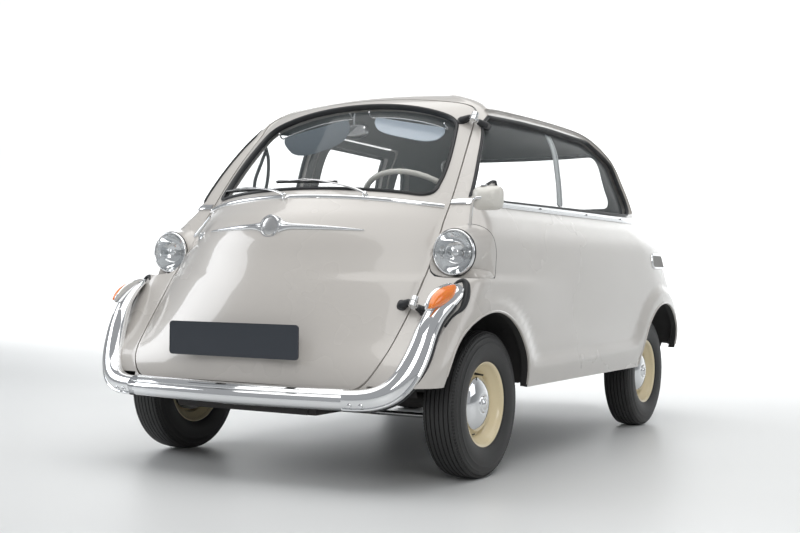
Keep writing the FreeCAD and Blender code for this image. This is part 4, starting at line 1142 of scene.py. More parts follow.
def soft_box(name, stations, place, material, power=4, sides=40, run=BACK, across=LEFT):
    """Rounded oblongs lofted along run. Stations: along, half across, half up."""
    rings = []
    up = across.cross(run)
    for along, half_a, half_b in stations:
        middle = Vector(place) + run * along
        ring = []
        for a in round_steps(sides):
            c, s = [math.copysign(abs(v) ** (2 / power), v) for v in (math.cos(a), math.sin(a))]
            ring.append(middle + across * (half_a * c) + up * (half_b * s))
        rings.append(ring)
    return smooth(rings_mesh(name, rings, material), 40)


# ---------------------------------------------------------------- lamp panels, arch edges and flanges

SEAM = [(-0.0016, -0.003), (-0.0014, 0.0007), (0.0014, 0.0007), (0.0016, -0.003)]
ROLL = [(-0.0045, -0.004), (-0.0040, 0.0018), (0.0, 0.0042), (0.0040, 0.0018), (0.0045, -0.004)]


def arch_edge(arch_y, start, stop):
    """The rolled edge round one wheel arch on the left."""
    turns = np.radians(np.linspace(start, stop, 90))
    path = [on_skin((0, arch_y + 0.3135 * math.cos(a), ARCH_Z + 0.3135 * math.sin(a)), LEFT) for a in turns]
    return sweep("arch_edge", path, ROLL, PAINT, closed=False)


def arch_flange(arch_y, start, stop):
    """The band that joins a wheel well to the inside of the skin, on the left."""
    rings = []
    for a in np.radians(np.linspace(start, stop, 60)):
        ring = []
        for radius, deep in ((0.333, 0.006), (0.345, 0.006), (0.345, 0.085), (0.333, 0.085)):
            place = on_skin((0, arch_y + radius * math.cos(a), ARCH_Z + radius * math.sin(a)), LEFT)[0]
            ring.append(place - LEFT * deep)
        rings.append(ring)
    return smooth(rings_mesh("arch_flange", rings, DARK), 40)


# The joint round the panel that carries each headlamp, in millimetres, from the inner lower corner outwards.
LAMP_PANEL = ((511, -1021, 736), (519, -1033, 706), (533, -1048, 682), (553, -1048, 668), (577, -1028, 661),
              (602, -1010, 660), (632, -1002, 660), (661, -997, 660), (683, -982, 660), (695, -945, 660),
              (693, -905, 664),
              (691, -895, 680), (689, -887, 710), (686, -878, 740), (683, -877, 766), (677, -883, 796),
              (664, -895, 818), (645, -908, 831), (622, -922, 837.5), (594, -932, 838), (562, -938, 834),
              (532, -947, 823), (512, -973, 794), (508, -1001, 767))
LAMP_AT, POD_RADIUS = Vector((LAMP_X, -1.003, LAMP_Z)), 0.0790
# What is cut out of the skin for the panel, seen from ahead and outboard, level with its foot.
LAMP_RECESS = ((511, -1022, 736), (522, -1043, 698), (537, -1059, 678), (557, -1069, 665),
               (600, -1072, 660.2), (680, -1030, 660.2), (695, -960, 660.2), (695, -906, 660.2),
               (690, -892, 690), (686, -879, 740), (683, -879, 766), (676, -885, 794), (663, -897, 816),
               (645, -910, 829), (622, -924, 835), (594, -934, 836), (562, -940, 832), (532, -949, 821),
               (513, -973, 794), (509, -1001, 767))
LOOKED = Vector((0.64, -0.77, 0)).normalized()


def lamp_panel(side):
    """The panel that flows from the lamp's round mouth back to its joint on the wing."""
    joint = curve_through([[v * MM for v in p] for p in LAMP_PANEL + LAMP_PANEL[:1]], 97)[:-1]
    joint = normals_of([Vector(p) for p in joint])
    rings = []
    for place, normal in joint:
        turn = math.atan2(place.z - LAMP_AT.z, place.x - LAMP_AT.x)
        spoke = Vector((math.cos(turn), 0, math.sin(turn)))
        mouth = LAMP_AT + spoke * POD_RADIUS
        end = place + normal * 0.0006
        reach = (end - mouth).length
        leave = BACK * max(end.y - mouth.y, 0.15 * reach) * 1.3 + spoke * 0.1 * reach
        arrive = (end - mouth) - normal * (end - mouth).dot(normal)
        if end.z < 0.663:
            leave, arrive = BACK * 0.5 * reach + spoke * 0.3 * reach, -UP * 0.9 * reach
        outer = [between(mouth, end, leave, arrive, t) for t in np.linspace(0, 1, 12)]
        inner = [p - spoke * 0.0022 for p in outer[:-1]] + [outer[-1] - normal * 0.0022]
        rings.append(sided(outer + inner[::-1], side))
    panel = smooth(rings_mesh("lamp_panel", rings, PAINT, closed=True), 30)
    line = [(Vector((side * p.x, p.y, p.z)), Vector((side * n.x, n.y, n.z))) for p, n in joint[:-16]]
    return join("lamp_panel", [panel, sweep("joint", line, SEAM, RUBBER, closed=False)])


def lamp_ledge(side):
    """The flat top of the wing in front of the panel's foot."""
    along = UP.cross(LOOKED)
    rings = []
    for s in np.linspace(-0.082, 0.136, 28):
        edge = on_skin(Vector((LAMP_AT.x, LAMP_AT.y, 0.6590)) + along * s, LOOKED)[0]
        deep = 0.026 + 0.06 * eased(s, -0.03, 0.05)
        ring = [edge - LOOKED * 0.003, edge - LOOKED * 0.003 - UP * 0.004, edge - LOOKED * deep - UP * 0.004,
                edge - LOOKED * deep]
        rings.append(sided(ring, side))
    return smooth(rings_mesh("lamp_ledge", rings, PAINT), 30)


recess = cutter("lamp_recess", [Vector(p) * MM for p in LAMP_RECESS], LOOKED, 1.04, 1.30)
body_skin = carve(body_skin, [recess, mirror_x(recess)])
arch_edges, arch_flanges = [], []
for arch_y, start, stop in ((FRONT_ARCH, 9.5, 158), (REAR_ARCH, 21, 170.5)):
    arch_edges += [arch_edge(arch_y, start, stop), mirror_x(arch_edge(arch_y, start, stop), keep=False)]
    arch_flanges += [arch_flange(arch_y, start, stop), mirror_x(arch_flange(arch_y, start, stop), keep=False)]
arch_flanges = join("arch_flanges", arch_flanges)
body_skin = join("body_skin", [body_skin, *arch_edges, lamp_panel(1), lamp_panel(-1), lamp_ledge(1),
                               lamp_ledge(-1)])

# ---------------------------------------------------------------- headlamps

FORWARD = Vector((0, -1, 0))


def lamp_centre(side):
    return Vector((side * LAMP_X, -1.006, LAMP_Z))


def lamp_shell(side):
    place = lamp_centre(side)
    profile = [(0.0015, 0.0760), (0.0015, 0.0792), (-0.004, 0.0796), (-0.100, 0.0796), (-0.122, 0.060),
               (-0.1230, 0.0), (-0.119, 0.0), (-0.098, 0.0760)]
    pod = smooth(lathe("pod", profile, place, FORWARD, PAINT, 64, closed=True), 30)
    seal = [(-0.0010, 0.0765), (0.0030, 0.0795), (0.0050, 0.0790), (0.0055, 0.0765)]
    return join("pod", [pod, smooth(lathe("pod_seal", seal, place, FORWARD, RUBBER, 64, closed=True), 30)])


def lamp_ring(side):
    place = lamp_centre(side)
    profile = [(-0.001, 0.0768), (0.003, 0.0776), (0.008, 0.0770), (0.0125, 0.0750), (0.0142, 0.0728),
               (0.0135, 0.0708), (0.0118, 0.0698), (0.006, 0.0692), (-0.001, 0.0700)]
    return smooth(lathe("ring", profile, place, FORWARD, CHROME, 72, closed=True), 60)


def lamp_bowl(side):
    place = lamp_centre(side)
    bowl = [(0.0085, 0.0690), (0.002, 0.0655), (-0.014, 0.0580), (-0.028, 0.0480), (-0.040, 0.0340),
            (-0.046, 0.0180), (-0.047, 0.0100), (-0.050, 0.0100), (-0.050, 0.0200), (-0.043, 0.0370),
            (-0.030, 0.0520), (-0.014, 0.0630), (0.002, 0.0695), (0.0080, 0.0705)]
    pieces = [smooth(lathe("bowl", bowl, place, FORWARD, CHROME, 48, closed=True), 50)]
    bulb = [(-0.046, 0.0), (-0.046, 0.009), (-0.034, 0.009), (-0.030, 0.0115), (-0.022, 0.0125),
            (-0.014, 0.0095), (-0.010, 0.004), (-0.009, 0.0)]
    pieces.append(smooth(lathe("bulb", bulb, place, FORWARD, ALLOY, 24), 50))
    cap = [(-0.004, 0.0), (-0.003, 0.011), (-0.0005, 0.0135), (0.001, 0.012), (0.0025, 0.0)]
    pieces.append(smooth(lathe("shade", cap, place, FORWARD, CHROME, 24), 50))
    return join("bowl_all", pieces)


def lamp_glass(side):
    place = lamp_centre(side)
    front = [(0.0105 + 0.0165 * math.cos(t), 0.0692 * math.sin(t)) for t in np.linspace(0, math.pi / 2, 14)]
    back = [(a - 0.0025, r * 0.985) for a, r in reversed(front)]
    return smooth(lathe("glass", front + back, place, FORWARD, LENS, 64), 50)


lamp_pods = both_sides("headlamp_pods_look", lamp_shell)
lamp_rings = both_sides("headlamp_rings_look", lamp_ring)
lamp_bowls = both_sides("headlamp_bowls", lamp_bowl)
lamp_glasses = both_sides("headlamp_lenses_look", lamp_glass)

# ---------------------------------------------------------------- badge, plate and strips on the front door

BLADE = [(-1, -1.2), (-1, 0.1), (-0.85, 0.55), (-0.5, 0.85), (-0.22, 0.95), (-0.14, 0.62), (0.14, 0.62),
         (0.22, 0.95), (0.5, 0.85), (0.85, 0.55), (1, 0.1), (1, -1.2)]


def badge_blade(side):
    path, sizes = [], []
    for t in np.linspace(0, 1, 40):
        x = 0.020 + 0.299 * t
        path.append(on_skin((x, 0, 0.827 - 0.013 * t ** 1.6), FORWARD))
        sizes.append((0.0118 * (1 - t) ** 0.6 + 0.015 * math.exp(-(t / 0.11) ** 2) + 0.0014,
                      0.012 - 0.0075 * t))
    return tapered("blade", path, BLADE, sizes, CHROME, side)


badge_place = on_skin((0, 0, 0.826), FORWARD)[0]
badge_axis = Vector((0, -1, 0.10)).normalized()
badge_round = smooth(lathe("roundel", [(-0.030, 0.0), (-0.030, 0.0400), (0.006, 0.0405), (0.013, 0.0400),
                                       (0.017, 0.0375), (0.0175, 0.0345), (0.0150, 0.0325), (0.0130, 0.0318),
                                       (0.0125, 0.0)], badge_place, badge_axis, CHROME, 64), 30)
badge_disc = smooth(lathe("roundel_disc", [(0.0120, 0.0), (0.0120, 0.0312), (0.0145, 0.0300),
                                           (0.0180, 0.0210), (0.0195, 0.0110), (0.0198, 0.0)], badge_place,
                          badge_axis, ALLOY, 48), 40)
badge = join("front_badge_look", [badge_round, badge_disc, badge_blade(1), badge_blade(-1)])

strip_path = []
for x in np.linspace(-0.4965, 0.4965, 90):
    strip_path.append(on_skin((x, 0, 0.936 - 0.036 * (x / 0.505) ** 2), FORWARD))
STRIP = [(-0.0095, -0.004), (-0.0095, 0.002), (-0.006, 0.0065), (0.0, 0.0085), (0.006, 0.0065),
         (0.0095, 0.002), (0.0095, -0.004)]
screen_strip = sweep("screen_strip", strip_path, STRIP, CHROME, closed=False)

belt_row = int(np.argmin(np.abs(skin_points[:, 0, 2] - 0.916)))
belt = [(Vector(p), Vector(n)) for p, n in zip(skin_points[belt_row], skin_normals[belt_row])
        if p[0] > 0.512 and p[1] < 0.735]
BELT = [(-0.0130, -0.003), (-0.0130, 0.0045), (-0.0100, 0.0065), (-0.0055, 0.0062), (-0.0045, 0.0040),
        (-0.0030, 0.0040), (-0.0020, 0.0062), (0.0090, 0.0052), (0.0120, 0.0030), (0.0120, -0.003)]
belt_left = sweep("belt_strip", belt, BELT, CHROME, closed=False)


def belt_right(name, kept, twin=None):
    part = [(place, normal) for place, normal in belt if kept(place.y)]
    return mirror_x(sweep(name, part, BELT, CHROME, closed=False), twin, keep=False)


belt_right_front = belt_right("belt_front", lambda y: y < -0.172)
belt_right_rear = belt_right("belt_rear", lambda y: y > 0.492)
belt_door = belt_right("belt_door", lambda y: -0.158 < y < 0.470, "belt_door_strip")
# Dark rubber pads on the belt strip: painted shade standing in for the dark inside the strip's slots.
slot_shades = []
for y in (-0.755, -0.345, 0.120, 0.520):
    place, normal = on_skin((0, y, 0.9175), LEFT)
    slot_shades.append(soft_box("belt_slot", ((-0.0005, 0.0105, 0.0027), (0.0006, 0.0105, 0.0027)),
                               place + normal * 0.0058, RUBBER, run=normal,
                               across=UP.cross(normal).normalized() * -1, sides=16))
belt_slots = join("belt_slots", slot_shades)

PLATE_FACE = -1.403
plate_flat = rounded(((-260, 399), (260, 399), (260, 509), (-260, 509)), 14)
plate_sheet = cutter("plate_sheet", on_plane(plate_flat, ACROSS, UP), FORWARD, -PLATE_FACE - 0.0035,
                     -PLATE_FACE)
plate_sheet.data.materials[0] = PLATE
plate_mounts = [soft_box("plate_mount", ((0.004, 0.016, 0.016), (0.09, 0.014, 0.014)),
                         (x, PLATE_FACE, 0.454), RUBBER, sides=20) for x in (-0.15, 0.15)]
rim_edge = on_plane(grown(plate_flat, -0.0015), ACROSS, UP, Vector((0, PLATE_FACE, 0)))
PLATE_RIM = [(-0.0016, -0.002), (-0.0016, 0.0006), (0.0, 0.0011), (0.0016, 0.0006), (0.0016, -0.002)]
plate_rim = sweep("plate_rim", [(p, FORWARD.copy()) for p in rim_edge], PLATE_RIM, PLATE)
plate = join("number_plate_look", [smooth(plate_sheet), plate_rim, *plate_mounts])

# ---------------------------------------------------------------- wipers, mirror, hinges and lever

def on_front(x, z, lift=0.0):
    place, normal = on_skin((x, 0, z), FORWARD)
    return place + normal * lift


def wiper(pivot, blade):
    """A spindle, a tapered arm and a bridged blade lying on the glass. Each end: x, z."""
    base, facing = on_skin((pivot[0], 0, pivot[1]), FORWARD)
    (x0, z0), (x1, z1) = blade
    spindle = lathe("spindle", [(-0.006, 0.0), (-0.006, 0.011), (0.006, 0.0105), (0.009, 0.008),
                                (0.018, 0.0075), (0.0205, 0.005), (0.021, 0.0)], base, facing, CHROME, 24)
    middle = ((x0 + x1) / 2, (z0 + z1) / 2)
    bends = [on_front(pivot[0] * (1 - t) + middle[0] * t, pivot[1] * (1 - t) + middle[1] * t + 0.006, lift)
             for t, lift in ((0.25, 0.019), (0.7, 0.015))]
    reach = [on_front(*pivot, 0.015), *bends, on_front(*middle, 0.011)]
    arm = tube("arm", reach, [0.0052] * 12 + [0.0034] * 40, ALLOY, count=30, flat=0.6)
    line = [on_front(x0 + (x1 - x0) * t, z0 + (z1 - z0) * t, 0.0005) for t in np.linspace(0, 1, 24)]
    edge = sweep("edge", normals_of(line), [(-0.0016, -0.006), (-0.0028, 0.003), (0.0028, 0.003),
                                            (0.0016, -0.006)], RUBBER, closed=False)
    back = sweep("back", normals_of(line[1:-1]), [(-0.0036, 0.0032), (-0.0030, 0.0055), (0.0030, 0.0055),
                                                 (0.0036, 0.0032)], ALLOY, closed=False)
    bridge = tube("bridge", [line[4] + Vector((0, 0, 0.002)), line[12] + Vector((0, -0.010, 0.006)),
                             line[19] + Vector((0, 0, 0.002))], 0.0030, ALLOY, count=16)
    return [smooth(spindle), arm, edge, back, bridge]


wipers = join("wipers", wiper((-0.035, 0.930), ((-0.470, 0.975), (-0.190, 0.970)))
              + wiper((0.260, 0.932), ((-0.150, 0.998), (0.120, 0.990))))

MIRROR = Vector((0.690, -0.960, 0.922))
mirror_arm = tube("mirror_arm", [(0.606, -0.918, 0.822), (0.618, -0.935, 0.850), (0.640, -0.968, 0.893),
                                 (0.660, -0.990, 0.917), (0.684, -0.986, 0.922)],
                  [0.0068] * 6 + [0.0052] * 40, CHROME, count=36)
mirror_foot = smooth(lathe("mirror_foot", [(-0.012, 0.0), (-0.012, 0.016), (0.000, 0.0155), (0.004, 0.012),
                                           (0.009, 0.009), (0.012, 0.0)], (0.606, -0.917, 0.820),
                           (0.05, -0.3, 0.95), CHROME, 32), 35)
mirror_head = soft_box("mirror_head", ((-0.0300, 0.010, 0.008), (-0.0285, 0.020, 0.014),
                                       (-0.024, 0.032, 0.023), (-0.016, 0.043, 0.031), (-0.006, 0.050, 0.037),
                                       (0.006, 0.0535, 0.0400), (0.0140, 0.0535, 0.0400),
                                       (0.0155, 0.0520, 0.0385)), MIRROR, IVORY, sides=56)
mirror_glass = soft_box("mirror_glass", ((0.0152, 0.0500, 0.0365), (0.0163, 0.0500, 0.0365)), MIRROR, CHROME,
                        sides=56)
mirror_knob = smooth(lathe("mirror_knob", [(0.0, 0.0), (0.0, 0.011), (0.003, 0.011), (0.006, 0.0075),
                                           (0.0085, 0.0)], MIRROR + Vector((-0.012, 0, 0.0385)), UP, CHROME,
                           24), 35)
door_mirror = join("door_mirror_look", [mirror_arm, mirror_foot, mirror_head, mirror_glass, mirror_knob])

# Hinges turn about a line that stands clear of the skin.
# Rows: the line's two ends, then the way to the foot on the body and on the door.
HINGES = (((0.548, -1.186, 0.583), (0.486, -0.652, 1.232), (0.022, 0.075, 0.005), (-0.075, 0.088, 0.024)),
          ((-0.708, -0.170, 0.480), (-0.694, -0.170, 0.800), (0.060, -0.030, -0.010), (0.060, 0.038, 0.010)),
          ((-0.250, 1.082, 0.890), (0.230, 1.082, 0.890), (-0.010, -0.060, 0.012), (0.010, -0.040, -0.030)))


def hinge_half(place, along, foot, metal, booted):
    """The knuckle, a leaf that widens to the skin and the pad under it."""
    place, foot = Vector(place), Vector(foot)
    foot -= along * along.dot(foot)
    knuckle = lathe("knuckle", [(0.0005, 0.0), (0.0005, 0.0115), (0.0020, 0.0132), (0.0180, 0.0132),
                                (0.0200, 0.0110), (0.0204, 0.0060), (0.0190, 0.0050), (0.0188, 0.0)], place,
                    along, metal, 28)
    middle = place + along * 0.010
    hit, normal = skin_tree.find_nearest(middle + foot)[:2]
    reach = hit - middle
    leaf_bar = tapered("hinge_leaf", [(middle + reach * t, along) for t in np.linspace(0, 1, 8)],
                       [(-1, -1), (-1, 1), (0, 1.15), (1, 1), (1, -1), (0, -1.15)],
                       [(0.0055 + 0.002 * t * t, 0.0065) for t in np.linspace(0, 1, 8)], metal)
    if not booted:
        return [smooth(knuckle, 35), leaf_bar]
    boot_round = [(math.cos(a), math.sin(a)) for a in np.linspace(0, 2 * math.pi, 17)[1:]]
    boot_radii = (0.0090, 0.0112, 0.0116, 0.0126, 0.0130, 0.0138, 0.0142, 0.0152, 0.0160)
    boot = tapered("hinge_boot", [(middle + reach * t, along) for t in np.linspace(0.32, 1, 9)], boot_round,
                   [(r, r) for r in boot_radii], RUBBER)
    pad = soft_box("hinge_pad", ((-0.004, 0.0165, 0.0185), (0.003, 0.0165, 0.0185), (0.005, 0.013, 0.015)),
                   hit, RUBBER, run=normal, across=normal.cross(along).normalized(), power=2.6, sides=28)
    return [smooth(knuckle, 35), leaf_bar, boot, pad]


def hinge_pair(row, metal):
    low, high, body_foot, door_foot = row
    along = (Vector(high) - Vector(low)).normalized()
    body, door = [], []
    for place in (low, high):
        body += hinge_half(place, -along, body_foot, metal, metal is CHROME)
        door += hinge_half(place, along, door_foot, metal, metal is CHROME)
    return body, door


body_hinges, door_hinge_list = [], []
for row, metal in zip(HINGES, (CHROME, ALLOY, PAINT)):
    body_half, door_half = hinge_pair(row, metal)
    body_hinges += body_half
    door_hinge_list.append(door_half)
fixed_hinges = join("fixed_hinges", body_hinges)
front_hinges = join("front_door_hinges", door_hinge_list[0])
side_hinges = join("side_door_hinges", door_hinge_list[1])
lid_hinges = join("lid_hinges", door_hinge_list[2])


def handle(place, normal, long_way, length):
    """A turning handle: escutcheon, boss and a tapered grip."""
    place, normal, long_way = Vector(place), Vector(normal).normalized(), Vector(long_way).normalized()
    plate_round = lathe("escutcheon", [(-0.004, 0.0), (-0.004, 0.020), (0.002, 0.0195), (0.005, 0.015),
                                       (0.007, 0.009), (0.022, 0.0080), (0.024, 0.0)], place, normal, CHROME,
                        32)
    start = place + normal * 0.019
    across = normal.cross(long_way)
    grip = soft_box("grip", ((-0.018, 0.006, 0.005), (-0.012, 0.0095, 0.0065), (0.004, 0.0105, 0.0070),
                             (length * 0.5, 0.0080, 0.0055), (length - 0.006, 0.0070, 0.0050),
                             (length, 0.0035, 0.0030)), start, CHROME, run=long_way, across=across, power=2.5,
                    sides=24)
    return [smooth(plate_round, 35), grip]


lever_at, lever_out = on_skin((-0.395, 0, 0.800), FORWARD)
front_handle = join("front_door_handle", handle(lever_at, lever_out, (0.55, 0, 0.55), 0.085))
side_at, side_out = on_skin((0, 0.395, 0.820), -LEFT)
side_handle = join("side_door_handle", handle(side_at, side_out, (0, -1, 0), 0.095))
lid_at, lid_out = on_skin((0, 0, 0.475), BACK)
lid_handle = join("lid_handle", handle(lid_at, lid_out, (1, 0, 0), 0.070))

# ---------------------------------------------------------------- tail vents, lamps, bumper and lid louvres


SLAT = ((0.0002, -0.0026, 0), (0.0060, 0.0016, 0), (0.0052, 0.0030, 0), (-0.0010, 0.0002, 0))


def vent(side):
    """A chrome frame round upright slats, let into the rear wing."""
    edge = [on_skin((0, y, z), LEFT) for y, z in vent_flat]
    frame_profile = [(-0.0065, -0.004), (-0.0065, 0.0030), (-0.004, 0.0055), (0.0, 0.0060), (0.0035, 0.0045),
                     (0.0060, 0.0015), (0.0060, -0.004)]
    frame_ring = sweep("vent_frame", evened(edge, 0.008), frame_profile, CHROME)
    pieces = [frame_ring]
    # A dark rubber sheet under the slats: painted shade standing in for the dark behind the vent's openings.
    bed = [p + n * 0.0008 for p, n in edge]
    centre = sum(bed, Vector()) / len(bed)
    lift = Vector((0.0012, 0, 0))
    pieces.append(rings_mesh("vent_bed", [[p - n * 0.002 for p, n in edge], bed,
                                          [centre + (p - centre) * 0.5 + lift for p in bed],
                                          [centre + (p - centre) * 0.05 + lift * 1.4 for p in bed]], RUBBER))
    slat_list = []
    for y in np.arange(0.750, 0.978, 0.0130):
        low, high = on_skin((0, y, 0.7155), LEFT)[0], on_skin((0, y, 0.7645), LEFT)[0]
        slat_list.append(rings_mesh("slat", [[p + Vector(corner) for corner in SLAT] for p in (low, high)],
                                    ENGINE))
    pieces += slat_list
    made = join("vent", pieces)
    return made if side > 0 else mirror_x(made, keep=False)


vents = both_sides("rear_vents", vent)


def tail_lamp(side):
    x, z = side * 0.520, 0.600
    base = on_skin((x, 0, z), BACK)[0].y - 0.03
    bezel = lathe("tail_bezel", [(-0.03, 0.0), (-0.03, 0.0385), (0.0, 0.0385), (0.004, 0.0370),
                                 (0.005, 0.0335), (0.002, 0.0325), (0.0, 0.0)], (x, 1.262, z), BACK, CHROME,
                  48)
    stem = lathe("tail_stem", [(0.0, 0.0), (0.0, 0.037), (1.250 - base, 0.034), (1.250 - base, 0.0)],
                 (x, base, z), BACK, PAINT, 48)
    lens = lathe("tail_lens", [(0.0, 0.0), (0.0, 0.0325), (0.003, 0.0320), (0.0065, 0.0280), (0.009, 0.0180),
                               (0.0098, 0.0)], (x, 1.263, z), BACK, RED, 48)
    return join("tail_lamp", [smooth(bezel, 35), smooth(stem, 35), smooth(lens, 35)])


tail_lamps = both_sides("tail_lamps_look", tail_lamp)
REAR_BAR = ((-0.016, 0.3580), (-0.004, 0.3590), (0.010, 0.3640), (0.0185, 0.3740), (0.0215, 0.3860),
            (0.0220, 0.3920), (0.0215, 0.3980), (0.0185, 0.4100), (0.010, 0.4200), (-0.004, 0.4250),
            (-0.016, 0.4260))
rear_bar = bar_piece("rear_bar", arc_path(0.600, 1.330, 1.428, count=60), REAR_BAR, CHROME, rounded_ends=5)
rear_brackets = [soft_box("bracket", ((-0.11, 0.020, 0.014), (0.0, 0.020, 0.014)), (x, 1.405, 0.392), DARK,
                          sides=16) for x in (-0.33, 0.33)]
rear_bumper = join("rear_bumper_look", [rear_bar, *rear_brackets])

lid_slats = []
for z in np.arange(0.5665, 0.800, 0.030):
    for side in (-1, 1):
        path = [on_skin((side * x, 0, z), BACK) for x in np.linspace(0.060, 0.300, 14)]
        sizes = [(min(1, 6 * t + 0.15, 6 * (1 - t) + 0.15),) * 2 for t in np.linspace(0, 1, 14)]
        lid_slats.append(tapered("lid_slat", path, [(-0.011, -0.003), (-0.008, 0.002), (-0.002, 0.0075),
                                                    (0.003, 0.0105), (0.0068, 0.0110), (0.0072, 0.0085),
                                                    (0.0072, -0.003)], sizes, PAINT))
lid_louvres = join("lid_louvres", lid_slats)
exhaust = tube("tailpipe", [(0.20, 1.285, 0.286), (0.245, 1.300, 0.282), (0.262, 1.345, 0.278),
                            (0.265, 1.425, 0.276)], 0.017, EXHAUST, count=24, sides=24)

# ---------------------------------------------------------------- drip rails and sliding pane edges

RAIL_FLAT = ((-0.560, 1.266), (-0.450, 1.274), (-0.300, 1.279), (-0.100, 1.283), (0.100, 1.283),
             (0.280, 1.279), (0.400, 1.266), (0.500, 1.234), (0.590, 1.184), (0.652, 1.120), (0.690, 1.040),
             (0.712, 0.950))
RAIL = [(-0.0035, -0.004), (-0.0045, 0.004), (-0.0025, 0.0095), (0.0015, 0.0105), (0.0020, 0.0085),
        (-0.0005, 0.0070), (-0.0005, 0.0030), (0.0040, -0.004)]
rail_line = curve_through([(0, y, z) for y, z in RAIL_FLAT], 90)


def drip_rail(side, kept):
    path = [on_skin((0, p.y, p.z), LEFT) for p in rail_line if kept(p.y)]
    made = sweep("rail", path, [(-a, o) for a, o in RAIL], PAINT, closed=False)
    return made if side > 0 else mirror_x(made, keep=False)


drip_rails = join("drip_rails", [drip_rail(1, lambda y: True), drip_rail(-1, lambda y: y < -0.172),
                                 drip_rail(-1, lambda y: y > 0.480)])


def pane_edge(y_top, y_low, wide):
    """The upright edge of a sliding pane, seen through the glass."""
    path = []
    for t in np.linspace(0, 1, 20):
        place, normal = on_skin((0, y_top + (y_low - y_top) * t, 1.246 - 0.300 * t), LEFT)
        path.append((place - normal * 0.0215, normal))
    return sweep("pane_edge", path, [(-wide, -0.0025), (-wide, 0.0025), (wide, 0.0025), (wide, -0.0025)],
                 FROSTED, closed=False)


pane_edges = join("sliding_pane_edges", [pane_edge(0.002, -0.100, 0.013), pane_edge(0.030, -0.070, 0.0035)])

# ---------------------------------------------------------------- inside: wheel, dash, visors, mirror, strap

COLUMN = Vector((0, math.cos(math.radians(50)), math.sin(math.radians(50))))
RIM_CENTRE = Vector((0.245, -0.630, 0.905))
HOOP_UP = COLUMN.cross(LEFT)


HOOP_RADIUS, HOOP_SIDES, GRIPS = 0.2045, 120, 36


def steering():
    hoop = [RIM_CENTRE + (LEFT * math.cos(a) + HOOP_UP * math.sin(a)) * HOOP_RADIUS
            for a in round_steps(HOOP_SIDES)]
    grips = [0.0098 + 0.0012 * max(math.sin(k * 2 * math.pi * GRIPS / HOOP_SIDES), 0)
             for k in range(HOOP_SIDES)]
    pieces = [tube("hoop", hoop, grips, IVORY, count=0, sides=16, closed=True)]
    for side in (-1, 1):
        for lift in (-0.010, 0.010):
            line = [RIM_CENTRE + LEFT * (side * across) + HOOP_UP * (lift * spread) - COLUMN * under
                    for across, spread, under in ((0.026, 1, 0.004), (0.11, 1.4, 0.010), (0.198, 2.2, 0))]
            pieces.append(tube("spoke", line, 0.0036, CHROME, count=16, sides=10))
    boss = [(-0.020, 0.0), (-0.020, 0.022), (-0.004, 0.031), (0.006, 0.031), (0.010, 0.027), (0.0105, 0.020),
            (0.0125, 0.0185), (0.0160, 0.0120), (0.0170, 0.0)]
    pieces.append(smooth(lathe("boss", boss, RIM_CENTRE, COLUMN, IVORY, 40), 35))
    pieces.append(smooth(lathe("shaft", [(-0.640, 0.0), (-0.640, 0.012), (-0.018, 0.012), (-0.018, 0.0)],
                               RIM_CENTRE, COLUMN, DARK, 24), 35))
    return join("steering_wheel_look", pieces)


steering_wheel = steering()
binnacle_at = Vector((0.245, -0.830, 0.885))
binnacle = soft_box("binnacle", ((-0.080, 0.030, 0.014), (-0.060, 0.054, 0.030), (-0.010, 0.066, 0.042),
                                 (0.030, 0.068, 0.046), (0.044, 0.066, 0.044), (0.046, 0.060, 0.040)),
                    binnacle_at + Vector((0, 0, 0.020)), DASH, power=2.6)
dial_at = binnacle_at + Vector((0, 0.0455, 0.022))
dial = smooth(lathe("dial", [(0.0, 0.0), (0.0, 0.034), (0.0035, 0.035), (0.0055, 0.033), (0.0035, 0.031),
                             (0.0020, 0.030), (0.0020, 0.0)], dial_at, BACK, CHROME, 40), 30)
dial_glass = smooth(lathe("dial_face", [(0.0018, 0.0), (0.0018, 0.0305), (0.0030, 0.0300), (0.0034, 0.0)],
                          dial_at, BACK, RUBBER, 40), 30)
knobs = [smooth(lathe("knob", [(-0.001, 0.0), (-0.001, 0.0050), (0.008, 0.0050), (0.010, 0.0100),
                               (0.018, 0.0105), (0.022, 0.0070), (0.023, 0.0)], (x, -0.950, 0.865), BACK,
                      IVORY, 24), 35) for x in (-0.30, -0.24, -0.06, 0.0, 0.06, 0.35)]
grab_rail = tube("grab_rail", [(-0.36, -0.955, 0.862), (-0.355, -0.925, 0.866), (-0.32, -0.915, 0.868),
                               (-0.22, -0.915, 0.868), (-0.13, -0.915, 0.868), (-0.105, -0.925, 0.866),
                               (-0.100, -0.955, 0.862)], 0.0055, CHROME)
dash_trims = join("dash_fittings", [binnacle, dial, dial_glass, *knobs, grab_rail])


# The visors' wire runs under the skin just over the screen.
VISOR_Y, VISOR_TOP, VISOR_CROWN, VISOR_UNDER = -0.655, 1.297, 0.55, 0.040


def over_screen(x):
    return on_skin((x, VISOR_Y, VISOR_TOP - VISOR_CROWN * x ** 2), DOOR_OUT)[0]


